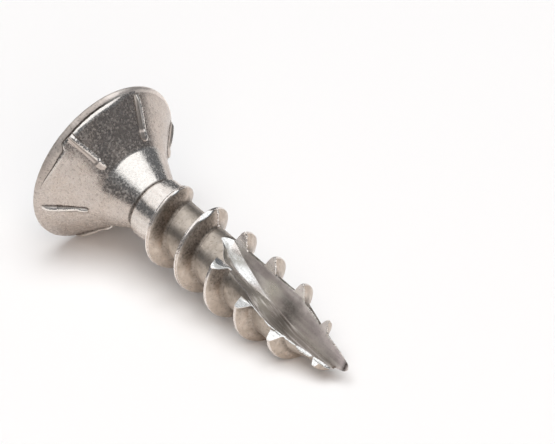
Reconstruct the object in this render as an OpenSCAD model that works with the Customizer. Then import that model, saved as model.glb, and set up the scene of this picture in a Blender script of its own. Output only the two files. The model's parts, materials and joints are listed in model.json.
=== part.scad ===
// Countersunk wood screw with a six-lobe recess, ribs under the head, a coarse thread and a fluted point.
// It lies on the floor (z = 0) on its rim and one thread crest, with the point towards +X.
// Every feature is drawn along its own axis first: h = 0 is the drive face and +h runs to the point.

/* [Head] */
// Diameter over the rolled rim
head_d = 9; // [8:0.1:11]
// Radius of the rolled rim's round edge
rim_round = 0.35; // [0.2:0.01:0.45]
// Step from the rim's edge in to the top of the countersink
ledge_w = 0.21; // [0.15:0.01:0.3]
// Included angle of the countersink
countersink_angle = 90; // [80:1:100]
// Diameter where the countersink passes into the neck
countersink_end_d = 5.8; // [5.2:0.1:6.2]

/* [Drive recess] */
// Size across opposite lobes
recess_lobe_d = 3.94; // [3.2:0.01:4]
// Size across opposite flutes between the lobes
recess_waist_d = 2.82; // [2.3:0.01:2.9]
// Radius of each lobe's end
recess_lobe_round = 0.33; // [0.25:0.01:0.4]
// Depth of the straight walls
recess_depth = 1.5; // [1:0.05:1.6]
// Depth of the shallow cone in the recess floor
recess_floor_dish = 0.3; // [0.1:0.05:0.35]
// Flat left round that cone
recess_floor_flat = 0.1; // [0.05:0.01:0.2]

/* [Ribs under the head] */
// Number of ribs
rib_count = 6; // [3:1:8]
// Height of a rib over the countersink, at the middle of its length
rib_h = 0.2; // [0.1:0.01:0.3]
// Length of a rib along the countersink
rib_len = 2.4; // [1.6:0.1:2.6]
// Slope of a rib's gentle side
rib_ramp = 22; // [12:1:45]
// Turn of the first rib about the screw's axis, from straight up
rib_turn = 43; // [0:1:60]

/* [Neck and collar] */
// Length of the slim cone between countersink and collar
neck_len = 2.39; // [1.5:0.05:4]
// Diameter at the neck's thin end
neck_end_d = 2.9; // [2.5:0.05:3.2]
// Diameter of the plain collar
collar_d = 3.36; // [3:0.02:3.8]
// Length of the plain collar
collar_len = 0.85; // [0.5:0.05:3]
// Radius of the collar's edge on the neck side
collar_round = 0.15; // [0.05:0.01:0.25]

/* [Thread] */
// Overall length, from drive face to point
screw_len = 19.05; // [17.5:0.05:26]
// Diameter over the thread crests
thread_d = 4.3; // [3.9:0.05:5]
// Diameter of the core under the thread
core_d = 2.76; // [2.3:0.02:2.8]
// Rise of the thread in one turn
pitch = 2.2; // [1.6:0.05:2.8]
// Width of the flat land on the crest
crest_w = 0.16; // [0.1:0.01:0.3]
// Slope of the thread's flanks
flank_angle = 22; // [15:1:30]
// Height of the wider foot where a flank runs into the core
foot_h = 0.12; // [0.06:0.01:0.2]
// Extra width of that foot on each side
foot_w = 0.1; // [0.05:0.01:0.15]
// Turn of the thread's start about the axis, from straight up
thread_turn = -150; // [-180:1:180]
// How far the thread's start lies before the end of the collar
thread_lead_in = 0.24; // [0.1:0.02:0.4]
// Turns in which the thread grows to its full height
run_in_turns = 0.75; // [0.4:0.05:1.2]
// Length of the thread's run-out over the point
run_out_len = 6.2; // [4:0.1:7]
// Shape of the run-out: 1 tapers evenly, and less stays deep for longer
run_out_power = 0.4; // [0.3:0.05:1]
// Length of plain point past the thread's end
plain_tip_len = 0.95; // [0.7:0.05:1.2]

/* [Point] */
// Length of the tapered point
point_len = 4.45; // [3:0.05:6]
// Radius of the point's round end
tip_round = 0.2; // [0.1:0.01:0.3]
// Diameter of the wheel that mills the point's flute
flute_wheel_d = 40; // [20:1:60]
// Distance from the tip back to where the flute is deepest
flute_deepest_back = 1.7; // [1:0.05:3]
// How far the flute's floor passes the screw's axis where it is deepest
flute_floor_past = 0.33; // [0.1:0.01:0.45]
// How far the flute's wall passes the screw's axis
flute_wall_past = 0.175; // [0.05:0.005:0.3]
// Turn of the flute's wall about the screw's axis, from straight up
flute_turn = -22; // [-180:1:180]

/* [Hidden] */
$fn = 180;

steel_bright = [0.80, 0.78, 0.75];
steel_dark = [0.62, 0.59, 0.56];
steel_cut = [0.86, 0.84, 0.83];

head_r = head_d / 2;
rim_r = head_r - rim_round;
ledge_r = head_r - ledge_w;
ledge_h = rim_round + sqrt(pow(rim_round, 2) - pow(ledge_r - rim_r, 2));
half_angle = countersink_angle / 2;
countersink_r = countersink_end_d / 2;
head_h = ledge_h + (ledge_r - countersink_r) / tan(half_angle);
collar_h = head_h + neck_len;
core_h = collar_h + collar_len;
core_r = core_d / 2;
point_h = screw_len - point_len;
clear = 1;

function around(turn) = [cos(turn), sin(turn)];

// Point: a cone that touches the round end
tip_centre_h = screw_len - tip_round;
tip_run = tip_centre_h - point_h;
tip_half_angle = atan(core_r / tip_run) - asin(tip_round / norm([core_r, tip_run]));
tip_touch = [tip_round * cos(tip_half_angle), tip_centre_h + tip_round * sin(tip_half_angle)];

// Thread: sections along the helix, each a ring of [x, y, h] points
thread_h = core_h - thread_lead_in;
thread_end_h = screw_len - plain_tip_len;
thread_turns = (thread_end_h - thread_h) / pitch;
thread_depth = thread_d / 2 - core_r;
sections_per_turn = 40;
section_count = floor(thread_turns * sections_per_turn);
thread_sink = 0.12;

function core_radius(h) = h < point_h ? core_r : core_r - (h - point_h) * tan(tip_half_angle);
function run_in(turns) = turns >= run_in_turns ? 1 : pow(sin(90 * turns / run_in_turns), 2);
function run_out(h) =
    let(left = (thread_end_h - h) / run_out_len)
    left >= 1 ? 1 : pow(max(left, 0), run_out_power);
function section_h(i) = thread_h + pitch * i / sections_per_turn;
function section_angle(i) = thread_turn + 360 * i / sections_per_turn;
function section_depth(i) =
    max(thread_depth * run_in(i / sections_per_turn) * run_out(section_h(i)), thread_depth / 20);
function crest_radius(i) = core_radius(section_h(i)) + section_depth(i);

function flank_half_w(rise, depth) = crest_w / 2 + (depth - rise) * tan(flank_angle);
function section_half(i) =
    let(depth = section_depth(i), base = core_radius(section_h(i)), foot = min(foot_h, depth / 2))
    [
        [base - thread_sink, flank_half_w(0, depth) + foot_w],
        [base + foot, flank_half_w(foot, depth)],
        [base + depth, crest_w / 2]
    ];
function section_ring(i) =
    let(half = section_half(i), a = section_angle(i), h = section_h(i))
    concat(
        [for (p = half) [p.x * cos(a), p.x * sin(a), h - p.y]],
        [for (k = [len(half) - 1:-1:0]) [half[k].x * cos(a), half[k].x * sin(a), h + half[k].y]]
    );

// Lie: the least tilt at which the floor meets both the rim and a crest
function lie_over(down, h) =
    let(rise = rim_r - down, run = h - rim_round)
    atan(rise / run) + asin(rim_round / norm([rise, run]));
lie_angle = min([
    for (i = [sections_per_turn:section_count])
        lie_over(-crest_radius(i) * cos(section_angle(i)), section_h(i) + crest_w / 2)
]);
floor_drop = rim_r * cos(lie_angle) + rim_round * sin(lie_angle) + rim_round;
rear_x = rim_round * cos(lie_angle) - rim_r * sin(lie_angle) - rim_round;
front_x = tip_centre_h * cos(lie_angle) + tip_round;

// Takes a feature from the screw's own axis to where the screw lies
module lay_down() {
    translate([-(rear_x + front_x) / 2, 0, floor_drop])
        rotate([0, lie_angle - 90, 0])
            rotate([180, 0, 0])
                children();
}

// Head without its recess, as it is forged
module head_blank() {
    rotate_extrude() {
        polygon([
            [0, 0],
            [rim_r, 0],
            [rim_r, rim_round],
            [ledge_r, ledge_h],
            [countersink_r, head_h],
            [0, head_h]
        ]);
        translate([rim_r, rim_round])
            circle(r = rim_round);
    }
}

// Outline of the six-lobe recess: round lobes joined by hollow arcs that touch them
module recess_outline() {
    lobes = 6;
    arc_steps = 6;
    half_step = 180 / lobes;
    lobe_r = recess_lobe_round;
    lobe_at = recess_lobe_d / 2 - lobe_r;
    waist_r = recess_waist_d / 2;
    reach = lobe_at * cos(half_step);
    hollow_top = pow(waist_r, 2) + pow(lobe_at, 2) - 2 * waist_r * reach - pow(lobe_r, 2);
    hollow_r = hollow_top / (2 * (lobe_r - waist_r + reach));
    hollow_at = waist_r + hollow_r;
    lobe_turn = atan2(hollow_at * sin(half_step), hollow_at * cos(half_step) - lobe_at);
    hollow_turn = lobe_turn - half_step;
    steps = [for (s = [-arc_steps:arc_steps]) s / arc_steps];
    inner_steps = [for (s = steps) if (abs(s) < 1) s];

    polygon([
        for (k = [0:lobes - 1])
            let(lobe_dir = 2 * k * half_step, hollow_dir = lobe_dir + half_step)
            each concat(
                [for (s = steps) lobe_at * around(lobe_dir) + lobe_r * around(lobe_dir + lobe_turn * s)],
                [
                    for (s = inner_steps)
                        hollow_at * around(hollow_dir) - hollow_r * around(hollow_dir - hollow_turn * s)
                ]
            )
    ]);
}

module recess() {
    translate([0, 0, -clear])
        linear_extrude(recess_depth + clear)
            recess_outline();
    translate([0, 0, recess_depth])
        cylinder(r1 = recess_waist_d / 2 - recess_floor_flat, r2 = 0, h = recess_floor_dish);
}

// One rib: a bowed ridge with a steep side and a gentle side, still sunk into the countersink
module rib_blank() {
    bow_r = (pow(rib_len / 2, 2) + pow(rib_h, 2)) / (2 * rib_h);
    mid_r = (ledge_r + countersink_r) / 2;
    mid_h = (ledge_h + head_h) / 2;
    ramp_w = rib_h / tan(rib_ramp);

    translate([mid_r, 0, mid_h])
        rotate([0, 90 - half_angle, 0])
            intersection() {
                translate([0, 0, rib_h])
                    rotate([-rib_ramp, 0, 0])
                        translate([0, 0, -bow_r])
                            rotate([90, 0, 0])
                                cylinder(r = bow_r, h = 4 * (ramp_w + clear), center = true);
                translate([-rib_len / 2, 0, -rib_h])
                    cube([rib_len, ramp_w, 2 * rib_h + clear]);
            }
}

// Core and point as one turned blank, before the flute is milled
module shank_blank() {
    rotate_extrude() {
        polygon([[0, core_h], [core_r, core_h], [core_r, point_h], tip_touch, [0, tip_touch.y]]);
        intersection() {
            translate([0, tip_centre_h])
                circle(r = tip_round);
            translate([0, tip_touch.y])
                square(tip_round);
        }
    }
}

// The milling wheel where it stands at the end of its cut: the part of its edge that meets the screw
module flute_wheel() {
    wheel_r = flute_wheel_d / 2;
    reach = 45;
    step = 2;
    rotate(flute_turn)
        translate([wheel_r - flute_floor_past, -flute_wall_past, screw_len - flute_deepest_back])
            rotate([-90, 0, 0])
                linear_extrude(thread_d)
                    polygon([[0, 0], for (a = [180 - reach:step:180 + reach]) wheel_r * around(a)]);
}

// Space in front of or behind a plane across the axis
module slab(from_h, to_h) {
    translate([0, 0, from_h])
        cylinder(d = 2 * thread_d, h = to_h - from_h);
}

module head() {
    color(steel_bright)
        lay_down()
            difference() {
                head_blank();
                recess();
            }
}

module ribs() {
    color(steel_bright)
        lay_down()
            for (k = [0:rib_count - 1])
                rotate(rib_turn + k * 360 / rib_count)
                    difference() {
                        rib_blank();
                        head_blank();
                        neck_blank();
                    }
}

module neck_blank() {
    translate([0, 0, head_h])
        cylinder(d1 = countersink_end_d, d2 = neck_end_d, h = neck_len);
}

module neck() {
    color(steel_bright)
        lay_down()
            neck_blank();
}

module collar_blank() {
    collar_r = collar_d / 2;
    rotate_extrude() {
        translate([0, collar_h])
            square([collar_r - collar_round, collar_len]);
        translate([0, collar_h + collar_round])
            square([collar_r, collar_len - collar_round]);
        translate([collar_r - collar_round, collar_h + collar_round])
            circle(r = collar_round);
    }
}

module collar() {
    color(steel_bright)
        lay_down()
            collar_blank();
}

module core() {
    color(steel_dark)
        lay_down()
            difference() {
                intersection() {
                    shank_blank();
                    slab(core_h - clear, point_h);
                }
                flute_wheel();
            }
}

module thread() {
    rings = [for (i = [0:section_count]) section_ring(i)];
    n = len(rings[0]);
    last = n * section_count;
    first_cap = [for (k = [0:n / 2 - 2]) [k, k + 1, n - 2 - k, n - 1 - k]];
    last_cap = [for (face = first_cap) [for (k = [len(face) - 1:-1:0]) last + face[k]]];
    skin = [
        for (i = [0:section_count - 1], k = [0:n - 1])
            let(a = i * n + k, b = i * n + (k + 1) % n)
            each [[a, b + n, b], [a, a + n, b + n]]
    ];
    color(steel_dark)
        lay_down()
            difference() {
                polyhedron([for (ring = rings) each ring], concat(first_cap, skin, last_cap));
                shank_blank();
                collar_blank();
                flute_wheel();
            }
}

module point() {
    color(steel_cut)
        lay_down()
            difference() {
                intersection() {
                    shank_blank();
                    slab(point_h, screw_len + clear);
                }
                flute_wheel();
            }
}

head();
ribs();
neck();
collar();
core();
thread();
point();
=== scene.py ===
"""Looks of a short countersunk wood screw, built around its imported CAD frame.

Every mesh is drawn in millimetres on the screw's own axes: x is up from the axis, y is to its side and
z runs along it from the drive face to the point. Each piece is then laid into the frame, in metres.
"""

from __future__ import annotations

import json
import logging
import math
from dataclasses import dataclass, replace
from enum import Enum
from typing import Any

import bmesh
import bpy
import numpy as np
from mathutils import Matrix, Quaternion, Vector

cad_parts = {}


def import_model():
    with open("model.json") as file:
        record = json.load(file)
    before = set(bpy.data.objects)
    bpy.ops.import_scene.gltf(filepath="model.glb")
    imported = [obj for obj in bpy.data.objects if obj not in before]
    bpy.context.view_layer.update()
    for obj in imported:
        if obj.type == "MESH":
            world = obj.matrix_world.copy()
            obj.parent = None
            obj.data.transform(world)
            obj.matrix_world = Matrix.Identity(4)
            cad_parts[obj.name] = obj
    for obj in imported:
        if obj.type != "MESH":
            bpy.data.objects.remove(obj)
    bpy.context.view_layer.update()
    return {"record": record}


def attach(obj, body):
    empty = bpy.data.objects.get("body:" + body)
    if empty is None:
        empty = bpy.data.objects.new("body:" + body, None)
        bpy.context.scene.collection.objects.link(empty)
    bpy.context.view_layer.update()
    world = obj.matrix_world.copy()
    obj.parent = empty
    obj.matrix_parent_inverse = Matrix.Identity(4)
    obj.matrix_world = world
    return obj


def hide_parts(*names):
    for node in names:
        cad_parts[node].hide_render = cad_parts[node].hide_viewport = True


LOG = logging.getLogger("wood_screw")
MM = 0.001
FULL_TURN = 2 * math.pi
BODY = "root"
TINY = 1e-6
Colour = tuple[float, float, float]


def smooth_step(value: np.ndarray | float) -> np.ndarray | float:
    """Eases a value from 0 to 1."""
    held = np.clip(value, 0.0, 1.0)
    return held * held * (3 - 2 * held)


def ease_over(value: Any, start: float, length: float) -> Any:
    """Eases from 0 to 1 over a length from a start."""
    return smooth_step((value - start) / length)


def ease_between(value: Any, low: float, high: float) -> Any:
    """Eases from 0 at one value to 1 at another."""
    return smooth_step((value - low) / (high - low))


def blend(start: Any, end: Any, share: Any) -> Any:
    """Goes from start to end by a share."""
    return start + (end - start) * share


def bell(value: Any, centre: float, width: float) -> Any:
    """A smooth bump of height 1 about a centre."""
    return np.exp(-(((value - centre) / width) ** 2))


def signed(turn: Any) -> Any:
    """The same turn about the axis, between half a turn back and half a turn on."""
    return (turn + math.pi) % FULL_TURN - math.pi


def soft_max(first: np.ndarray, second: np.ndarray, width: float) -> np.ndarray:
    """The larger of two values, rounded off over a width where they cross."""
    return 0.5 * (first + second + np.sqrt((first - second) ** 2 + width**2))


def polar(radius: Any, turn: Any, height: Any) -> np.ndarray:
    """Points on the screw's own axes from radius, turn about the axis and height along it."""
    radius, turn, height = np.broadcast_arrays(radius, turn, height)
    return np.stack([radius * np.cos(turn), radius * np.sin(turn), height], axis=-1)


def ring_turns(count: int) -> np.ndarray:
    """Turns of a number of points spread evenly round the axis."""
    return np.arange(count) * FULL_TURN / count


def uneven(place: np.ndarray, step: float, seed: int) -> np.ndarray:
    """Smooth unevenness between -1 and 1 along a line.

    Args:
        place: Places along the line, in millimetres.
        step: Typical distance between bumps, in millimetres.
        seed: Picks one pattern.

    Returns:
        One value for each place.
    """
    octaves = (0.6, 1.0, 1.7, 2.9)
    draw = np.random.default_rng(seed)
    place = np.asarray(place, float)
    waves = [np.sin(FULL_TURN * place * octave / step + draw.uniform(0, FULL_TURN)) for octave in octaves]
    return sum(waves) / len(octaves)


@dataclass(frozen=True)
class ScrewAxis:
    """Where the screw lies in the frame."""

    origin: np.ndarray
    basis: np.ndarray

    @classmethod
    def from_record(cls, record: dict[str, Any]) -> ScrewAxis:
        """Reads the axis from the record's drive recess.

        Args:
            record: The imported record.

        Returns:
            The axis, with its origin in the middle of the drive face.
        """
        mount = next(m for m in record["mounts"] if m["name"] == "drive_recess")
        along = -Vector(mount["axis"]).normalized()
        up = (Vector((0, 0, 1)) - along.z * along).normalized()
        side = along.cross(up)
        return cls(np.array(mount["pos_m"], float), np.array([up, side, along], float))

    def to_row(self, local: np.ndarray) -> np.ndarray:
        """Takes points from the screw's own axes to the frame, in metres."""
        return self.origin + MM * (local @ self.basis)


class MeshSketch:
    """Collects sheets of points on the screw's own axes into one clean mesh."""

    def __init__(self) -> None:
        """Starts with nothing drawn."""
        self.points: list[np.ndarray] = []
        self.highlight_and_wear: list[np.ndarray] = []
        self.shade_and_specks: list[np.ndarray] = []
        self.faces: list[tuple[int, ...]] = []
        self.coats: list[int] = []
        self.count = 0

    def sheet(
        self,
        points: np.ndarray,
        wrap: bool,
        coat: np.ndarray | int = 0,
        highlight_and_wear: np.ndarray | float = 0.0,
        shade_and_specks: np.ndarray | float = 0.0,
    ) -> np.ndarray:
        """Adds a grid of points and its four-sided faces.

        Args:
            points: Points as rows, columns and three coordinates.
            wrap: Whether the last column joins the first.
            coat: Which of the piece's finishes each face takes.
            highlight_and_wear: How far each point is lightened, from 0 to 1: painted highlight, and a
                lighter tone on the collar.
            shade_and_specks: How far each point is darkened by painted shade, from 0 to 1.

        Returns:
            The number of each point in the mesh.
        """
        rows, columns = points.shape[:2]
        numbers = np.arange(rows * columns).reshape(rows, columns) + self.count
        self.count += rows * columns
        self.points.append(points.reshape(-1, 3))
        self.highlight_and_wear.append(np.broadcast_to(highlight_and_wear, (rows, columns)).reshape(-1))
        self.shade_and_specks.append(np.broadcast_to(shade_and_specks, (rows, columns)).reshape(-1))
        beside = np.roll(numbers, -1, axis=1) if wrap else numbers[:, 1:]
        first = numbers if wrap else numbers[:, :-1]
        quads = np.stack([first[:-1], beside[:-1], beside[1:], first[1:]], axis=-1)
        self.faces += [tuple(q) for q in quads.reshape(-1, 4).tolist()]
        self.coats += np.broadcast_to(coat, quads.shape[:2]).reshape(-1).tolist()
        return numbers

    def cap(self, loop: np.ndarray, coat: int = 0) -> None:
        """Closes a loop of points with one face."""
        self.faces.append(tuple(int(n) for n in loop))
        self.coats.append(coat)

    def tube(self, path: np.ndarray, radius: np.ndarray, coat: int, highlight_and_wear: float) -> None:
        """Adds a thin uneven bead of metal that follows a path and closes at both ends.

        Args:
            path: Points that the bead follows.
            radius: The bead's radius at each of them.
            coat: Which of the piece's finishes it takes.
            highlight_and_wear: How far it is lightened by painted highlight.
        """
        sides = 8
        ahead = np.gradient(path, axis=0)
        ahead /= np.linalg.norm(ahead, axis=1, keepdims=True)
        guide = np.array([0.31, 0.87, 0.38])
        across = np.cross(ahead, guide)
        across /= np.linalg.norm(across, axis=1, keepdims=True)
        upward = np.cross(across, ahead)
        held = radius.copy()
        held[[0, -1]] = 0.0
        turn = ring_turns(sides)
        ring = np.cos(turn)[None, :, None] * across[:, None] + np.sin(turn)[None, :, None] * upward[:, None]
        self.sheet(path[:, None] + held[:, None, None] * ring, True, coat, highlight_and_wear)

    def make(self, name: str, axis: ScrewAxis, sharp_deg: float) -> bpy.types.Object:
        """Turns the drawn sheets into an object.

        Args:
            name: Name of the piece.
            axis: Where the screw lies.
            sharp_deg: Edges sharper than this stay crisp.

        Returns:
            The new object, linked to the scene.
        """
        weld = 0.0004 * MM
        sliver = 0.0002 * MM
        mesh = bpy.data.meshes.new(name)
        mesh.from_pydata(axis.to_row(np.concatenate(self.points)).tolist(), [], self.faces)
        mesh.polygons.foreach_set("material_index", self.coats)
        # Stores the painted highlight and painted shade marks as point attributes.
        for mark, values in (("highlight_and_wear", self.highlight_and_wear), ("shade_and_specks", self.shade_and_specks)):
            layer = mesh.attributes.new(mark, "FLOAT", "POINT")
            layer.data.foreach_set("value", np.concatenate(values).astype(np.float32))
        work = bmesh.new()
        work.from_mesh(mesh)
        bmesh.ops.remove_doubles(work, verts=work.verts, dist=weld)
        bmesh.ops.dissolve_degenerate(work, edges=work.edges, dist=sliver)
        bmesh.ops.recalc_face_normals(work, faces=work.faces)
        work.to_mesh(mesh)
        work.free()
        mesh.polygons.foreach_set("use_smooth", [True] * len(mesh.polygons))
        mesh.set_sharp_from_angle(angle=math.radians(sharp_deg))
        piece = bpy.data.objects.new(name, mesh)
        bpy.context.scene.collection.objects.link(piece)
        return piece


class Graph:
    """A short way to place shader nodes and join them."""

    def __init__(self, tree: bpy.types.NodeTree) -> None:
        """Keeps the tree that nodes are placed in."""
        self.tree = tree

    def node(self, kind: str, inputs: dict[Any, Any] | None = None, **settings: Any) -> bpy.types.Node:
        """Places one node.

        Args:
            kind: Blender's name for the node, without ShaderNode.
            inputs: Values or sockets for its inputs, by name or number.
            **settings: Properties of the node.

        Returns:
            The node.
        """
        made = self.tree.nodes.new(kind if kind.startswith("Node") else f"ShaderNode{kind}")
        for key, value in settings.items():
            setattr(made, key, value)
        for key, value in (inputs or {}).items():
            if isinstance(value, bpy.types.NodeSocket):
                self.tree.links.new(value, made.inputs[key])
            else:
                made.inputs[key].default_value = value
        return made

    def math(self, operation: str, *values: Any) -> bpy.types.NodeSocket:
        """Places one Math node and gives its result."""
        return self.node("Math", dict(enumerate(values)), operation=operation).outputs[0]

    def vector(self, operation: str, *values: Any) -> bpy.types.Node:
        """Places one Vector Math node."""
        return self.node("VectorMath", dict(enumerate(values)), operation=operation)

    def join(self, *parts: Any) -> bpy.types.NodeSocket:
        """Joins two or three values into a vector."""
        return self.node("CombineXYZ", dict(enumerate(parts))).outputs[0]

    def noise(self, vector: Any, scale: Any, detail: float, rough: float) -> bpy.types.NodeSocket:
        """Places a Noise Texture and gives its value."""
        inputs = {"Vector": vector, "Scale": scale, "Detail": detail, "Roughness": rough}
        return self.node("TexNoise", inputs).outputs[0]

    def ramp(
        self, value: Any, low: float, high: float, to_low: float = 0.0, to_high: float = 1.0
    ) -> bpy.types.NodeSocket:
        """Stretches a value from one range to another and holds it there."""
        return self.node("MapRange", {0: value, 1: low, 2: high, 3: to_low, 4: to_high}).outputs[0]

    def mix(self, share: Any, first: Any, colour: Colour) -> bpy.types.NodeSocket:
        """Mixes a colour into another by a share."""
        return self.node("Mix", {0: share, 6: first, 7: (*colour, 1)}, data_type="RGBA").outputs[2]

    def group(self, tree: bpy.types.NodeTree, inputs: dict[str, Any]) -> Any:
        """Places a node group with its own values and gives its outputs."""
        return self.node("Group", inputs, node_tree=tree).outputs


class Marks(Enum):
    """Ways in which tool marks run over the steel, by the output that follows them."""

    AROUND = "Around"
    ALONG = "Lengthwise"
    RADIAL = "Radial"


class SurfaceEffects:
    """Node groups that more than one finish uses."""

    def __init__(self, axis: ScrewAxis) -> None:
        """Builds every group once.

        Args:
            axis: Where the screw lies.
        """
        self.axes = self._axes(axis)
        self.grain = self._grain()
        self.mottle = self._mottle()
        self.lines = self._lines()
        self.light_and_wear = self._light_and_wear()

    @staticmethod
    def _group(name: str, inputs: dict[str, str], outputs: dict[str, str]) -> tuple[Graph, Any, Any]:
        """Starts a node group.

        Args:
            name: Name of the group.
            inputs: Kind of each input, by its name.
            outputs: Kind of each output, by its name.

        Returns:
            The graph, the group's inputs and the group's result.
        """
        tree = bpy.data.node_groups.new(name, "ShaderNodeTree")
        for way, sockets in (("INPUT", inputs), ("OUTPUT", outputs)):
            for label, kind in sockets.items():
                tree.interface.new_socket(label, in_out=way, socket_type=f"NodeSocket{kind}")
        graph = Graph(tree)
        return graph, graph.node("NodeGroupInput").outputs, graph.node("NodeGroupOutput").inputs

    @staticmethod
    def _send(graph: Graph, result: Any, values: dict[str, bpy.types.NodeSocket]) -> bpy.types.NodeTree:
        """Finishes a node group.

        Args:
            graph: The group's graph.
            result: The group's result.
            values: What each output gives, by its name.

        Returns:
            The group.
        """
        for label, socket in values.items():
            graph.tree.links.new(socket, result[label])
        return graph.tree

    def _axes(self, axis: ScrewAxis) -> bpy.types.NodeTree:
        """Gives places on the screw's own axes, in millimetres, and stretched places for tool marks.

        Args:
            axis: Where the screw lies.

        Returns:
            The group.
        """
        outputs = {label: "Vector" for label in ("Place", *(m.value for m in Marks))}
        graph, given, result = self._group("screw_axes", {"Position": "Vector"}, outputs)
        moved = graph.vector("SUBTRACT", given["Position"], tuple(axis.origin)).outputs[0]
        parts = [
            graph.math("MULTIPLY", graph.vector("DOT_PRODUCT", moved, tuple(row)).outputs["Value"], 1 / MM)
            for row in axis.basis
        ]
        flat = graph.join(*parts[:2])
        radius = graph.vector("LENGTH", flat).outputs["Value"]
        ring = graph.node("SeparateXYZ", {0: graph.vector("NORMALIZE", flat).outputs[0]}).outputs
        place = graph.join(*parts)
        along_axis, around_axis, across_spokes, along_spokes = 0.04, 0.18, 3.0, 0.12
        around = [graph.math("MULTIPLY", ring[k], around_axis) for k in (0, 1)]
        spokes = [graph.math("MULTIPLY", ring[k], across_spokes) for k in (0, 1)]
        stretched = {
            "Place": place,
            Marks.AROUND.value: graph.join(*around, parts[2]),
            Marks.ALONG.value: graph.vector("MULTIPLY", place, (1.0, 1.0, along_axis)).outputs[0],
            Marks.RADIAL.value: graph.join(*spokes, graph.math("MULTIPLY", radius, along_spokes)),
        }
        return self._send(graph, result, stretched)

    def _grain(self) -> bpy.types.NodeTree:
        """Fine pitted grain, as height and as a mask of dark specks.

        Returns:
            The group.
        """
        inputs = {"Place": "Vector", "Size": "Float"}
        graph, given, result = self._group("steel_grain", inputs, {"Height": "Float", "Specks": "Float"})
        fine = graph.math("DIVIDE", 1.0, given["Size"])
        spread = graph.math("MULTIPLY", fine, 0.9)
        height = graph.noise(given["Place"], fine, 3.0, 0.6)
        specks = graph.ramp(graph.noise(given["Place"], spread, 2.0, 0.5), 0.56, 0.68)
        return self._send(graph, result, {"Height": height, "Specks": specks})

    def _mottle(self) -> bpy.types.NodeTree:
        """Cloudy patches in the colour and the gloss of formed steel.

        Returns:
            The group.
        """
        inputs = {"Place": "Vector", "Size": "Float"}
        graph, given, result = self._group("steel_mottle", inputs, {"Clouds": "Float", "Patches": "Float"})
        fine = graph.math("DIVIDE", 1.0, given["Size"])
        broad = graph.math("MULTIPLY", fine, 0.45)
        elsewhere = graph.vector("ADD", given["Place"], (3.1, 7.7, 1.9)).outputs[0]
        clouds = graph.ramp(graph.noise(given["Place"], fine, 4.0, 0.6), 0.32, 0.68)
        patches = graph.ramp(graph.noise(elsewhere, broad, 3.0, 0.55), 0.38, 0.66)
        return self._send(graph, result, {"Clouds": clouds, "Patches": patches})

    def _lines(self) -> bpy.types.NodeTree:
        """Fine parallel tool marks along a stretched place.

        Returns:
            The group.
        """
        inputs = {"Stretched": "Vector", "Size": "Float"}
        graph, given, result = self._group("tool_lines", inputs, {"Height": "Float", "Bright": "Float"})
        fine = graph.math("DIVIDE", 1.0, given["Size"])
        broad = graph.math("MULTIPLY", fine, 0.6)
        height = graph.noise(given["Stretched"], fine, 2.0, 0.55)
        bright = graph.ramp(graph.noise(given["Stretched"], broad, 1.0, 0.5), 0.5, 0.72)
        return self._send(graph, result, {"Height": height, "Bright": bright})

    def _light_and_wear(self) -> bpy.types.NodeTree:
        """Painted highlights, painted shade and the collar's lighter tone, as marked, broken up a little.

        Returns:
            The group.
        """
        outputs = {"Highlight_and_wear": "Float", "Shade_and_specks": "Float"}
        graph, given, result = self._group("painted_light_and_wear", {"Place": "Vector"}, outputs)
        broken = graph.ramp(graph.noise(given["Place"], 9.0, 3.0, 0.6), 0.3, 0.62, 0.55, 1.0)
        marked = {}
        for label in outputs:
            mask = graph.node("Attribute", attribute_name=label.lower()).outputs["Fac"]
            marked[label] = graph.math("MULTIPLY", mask, broken)
        return self._send(graph, result, marked)


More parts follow.
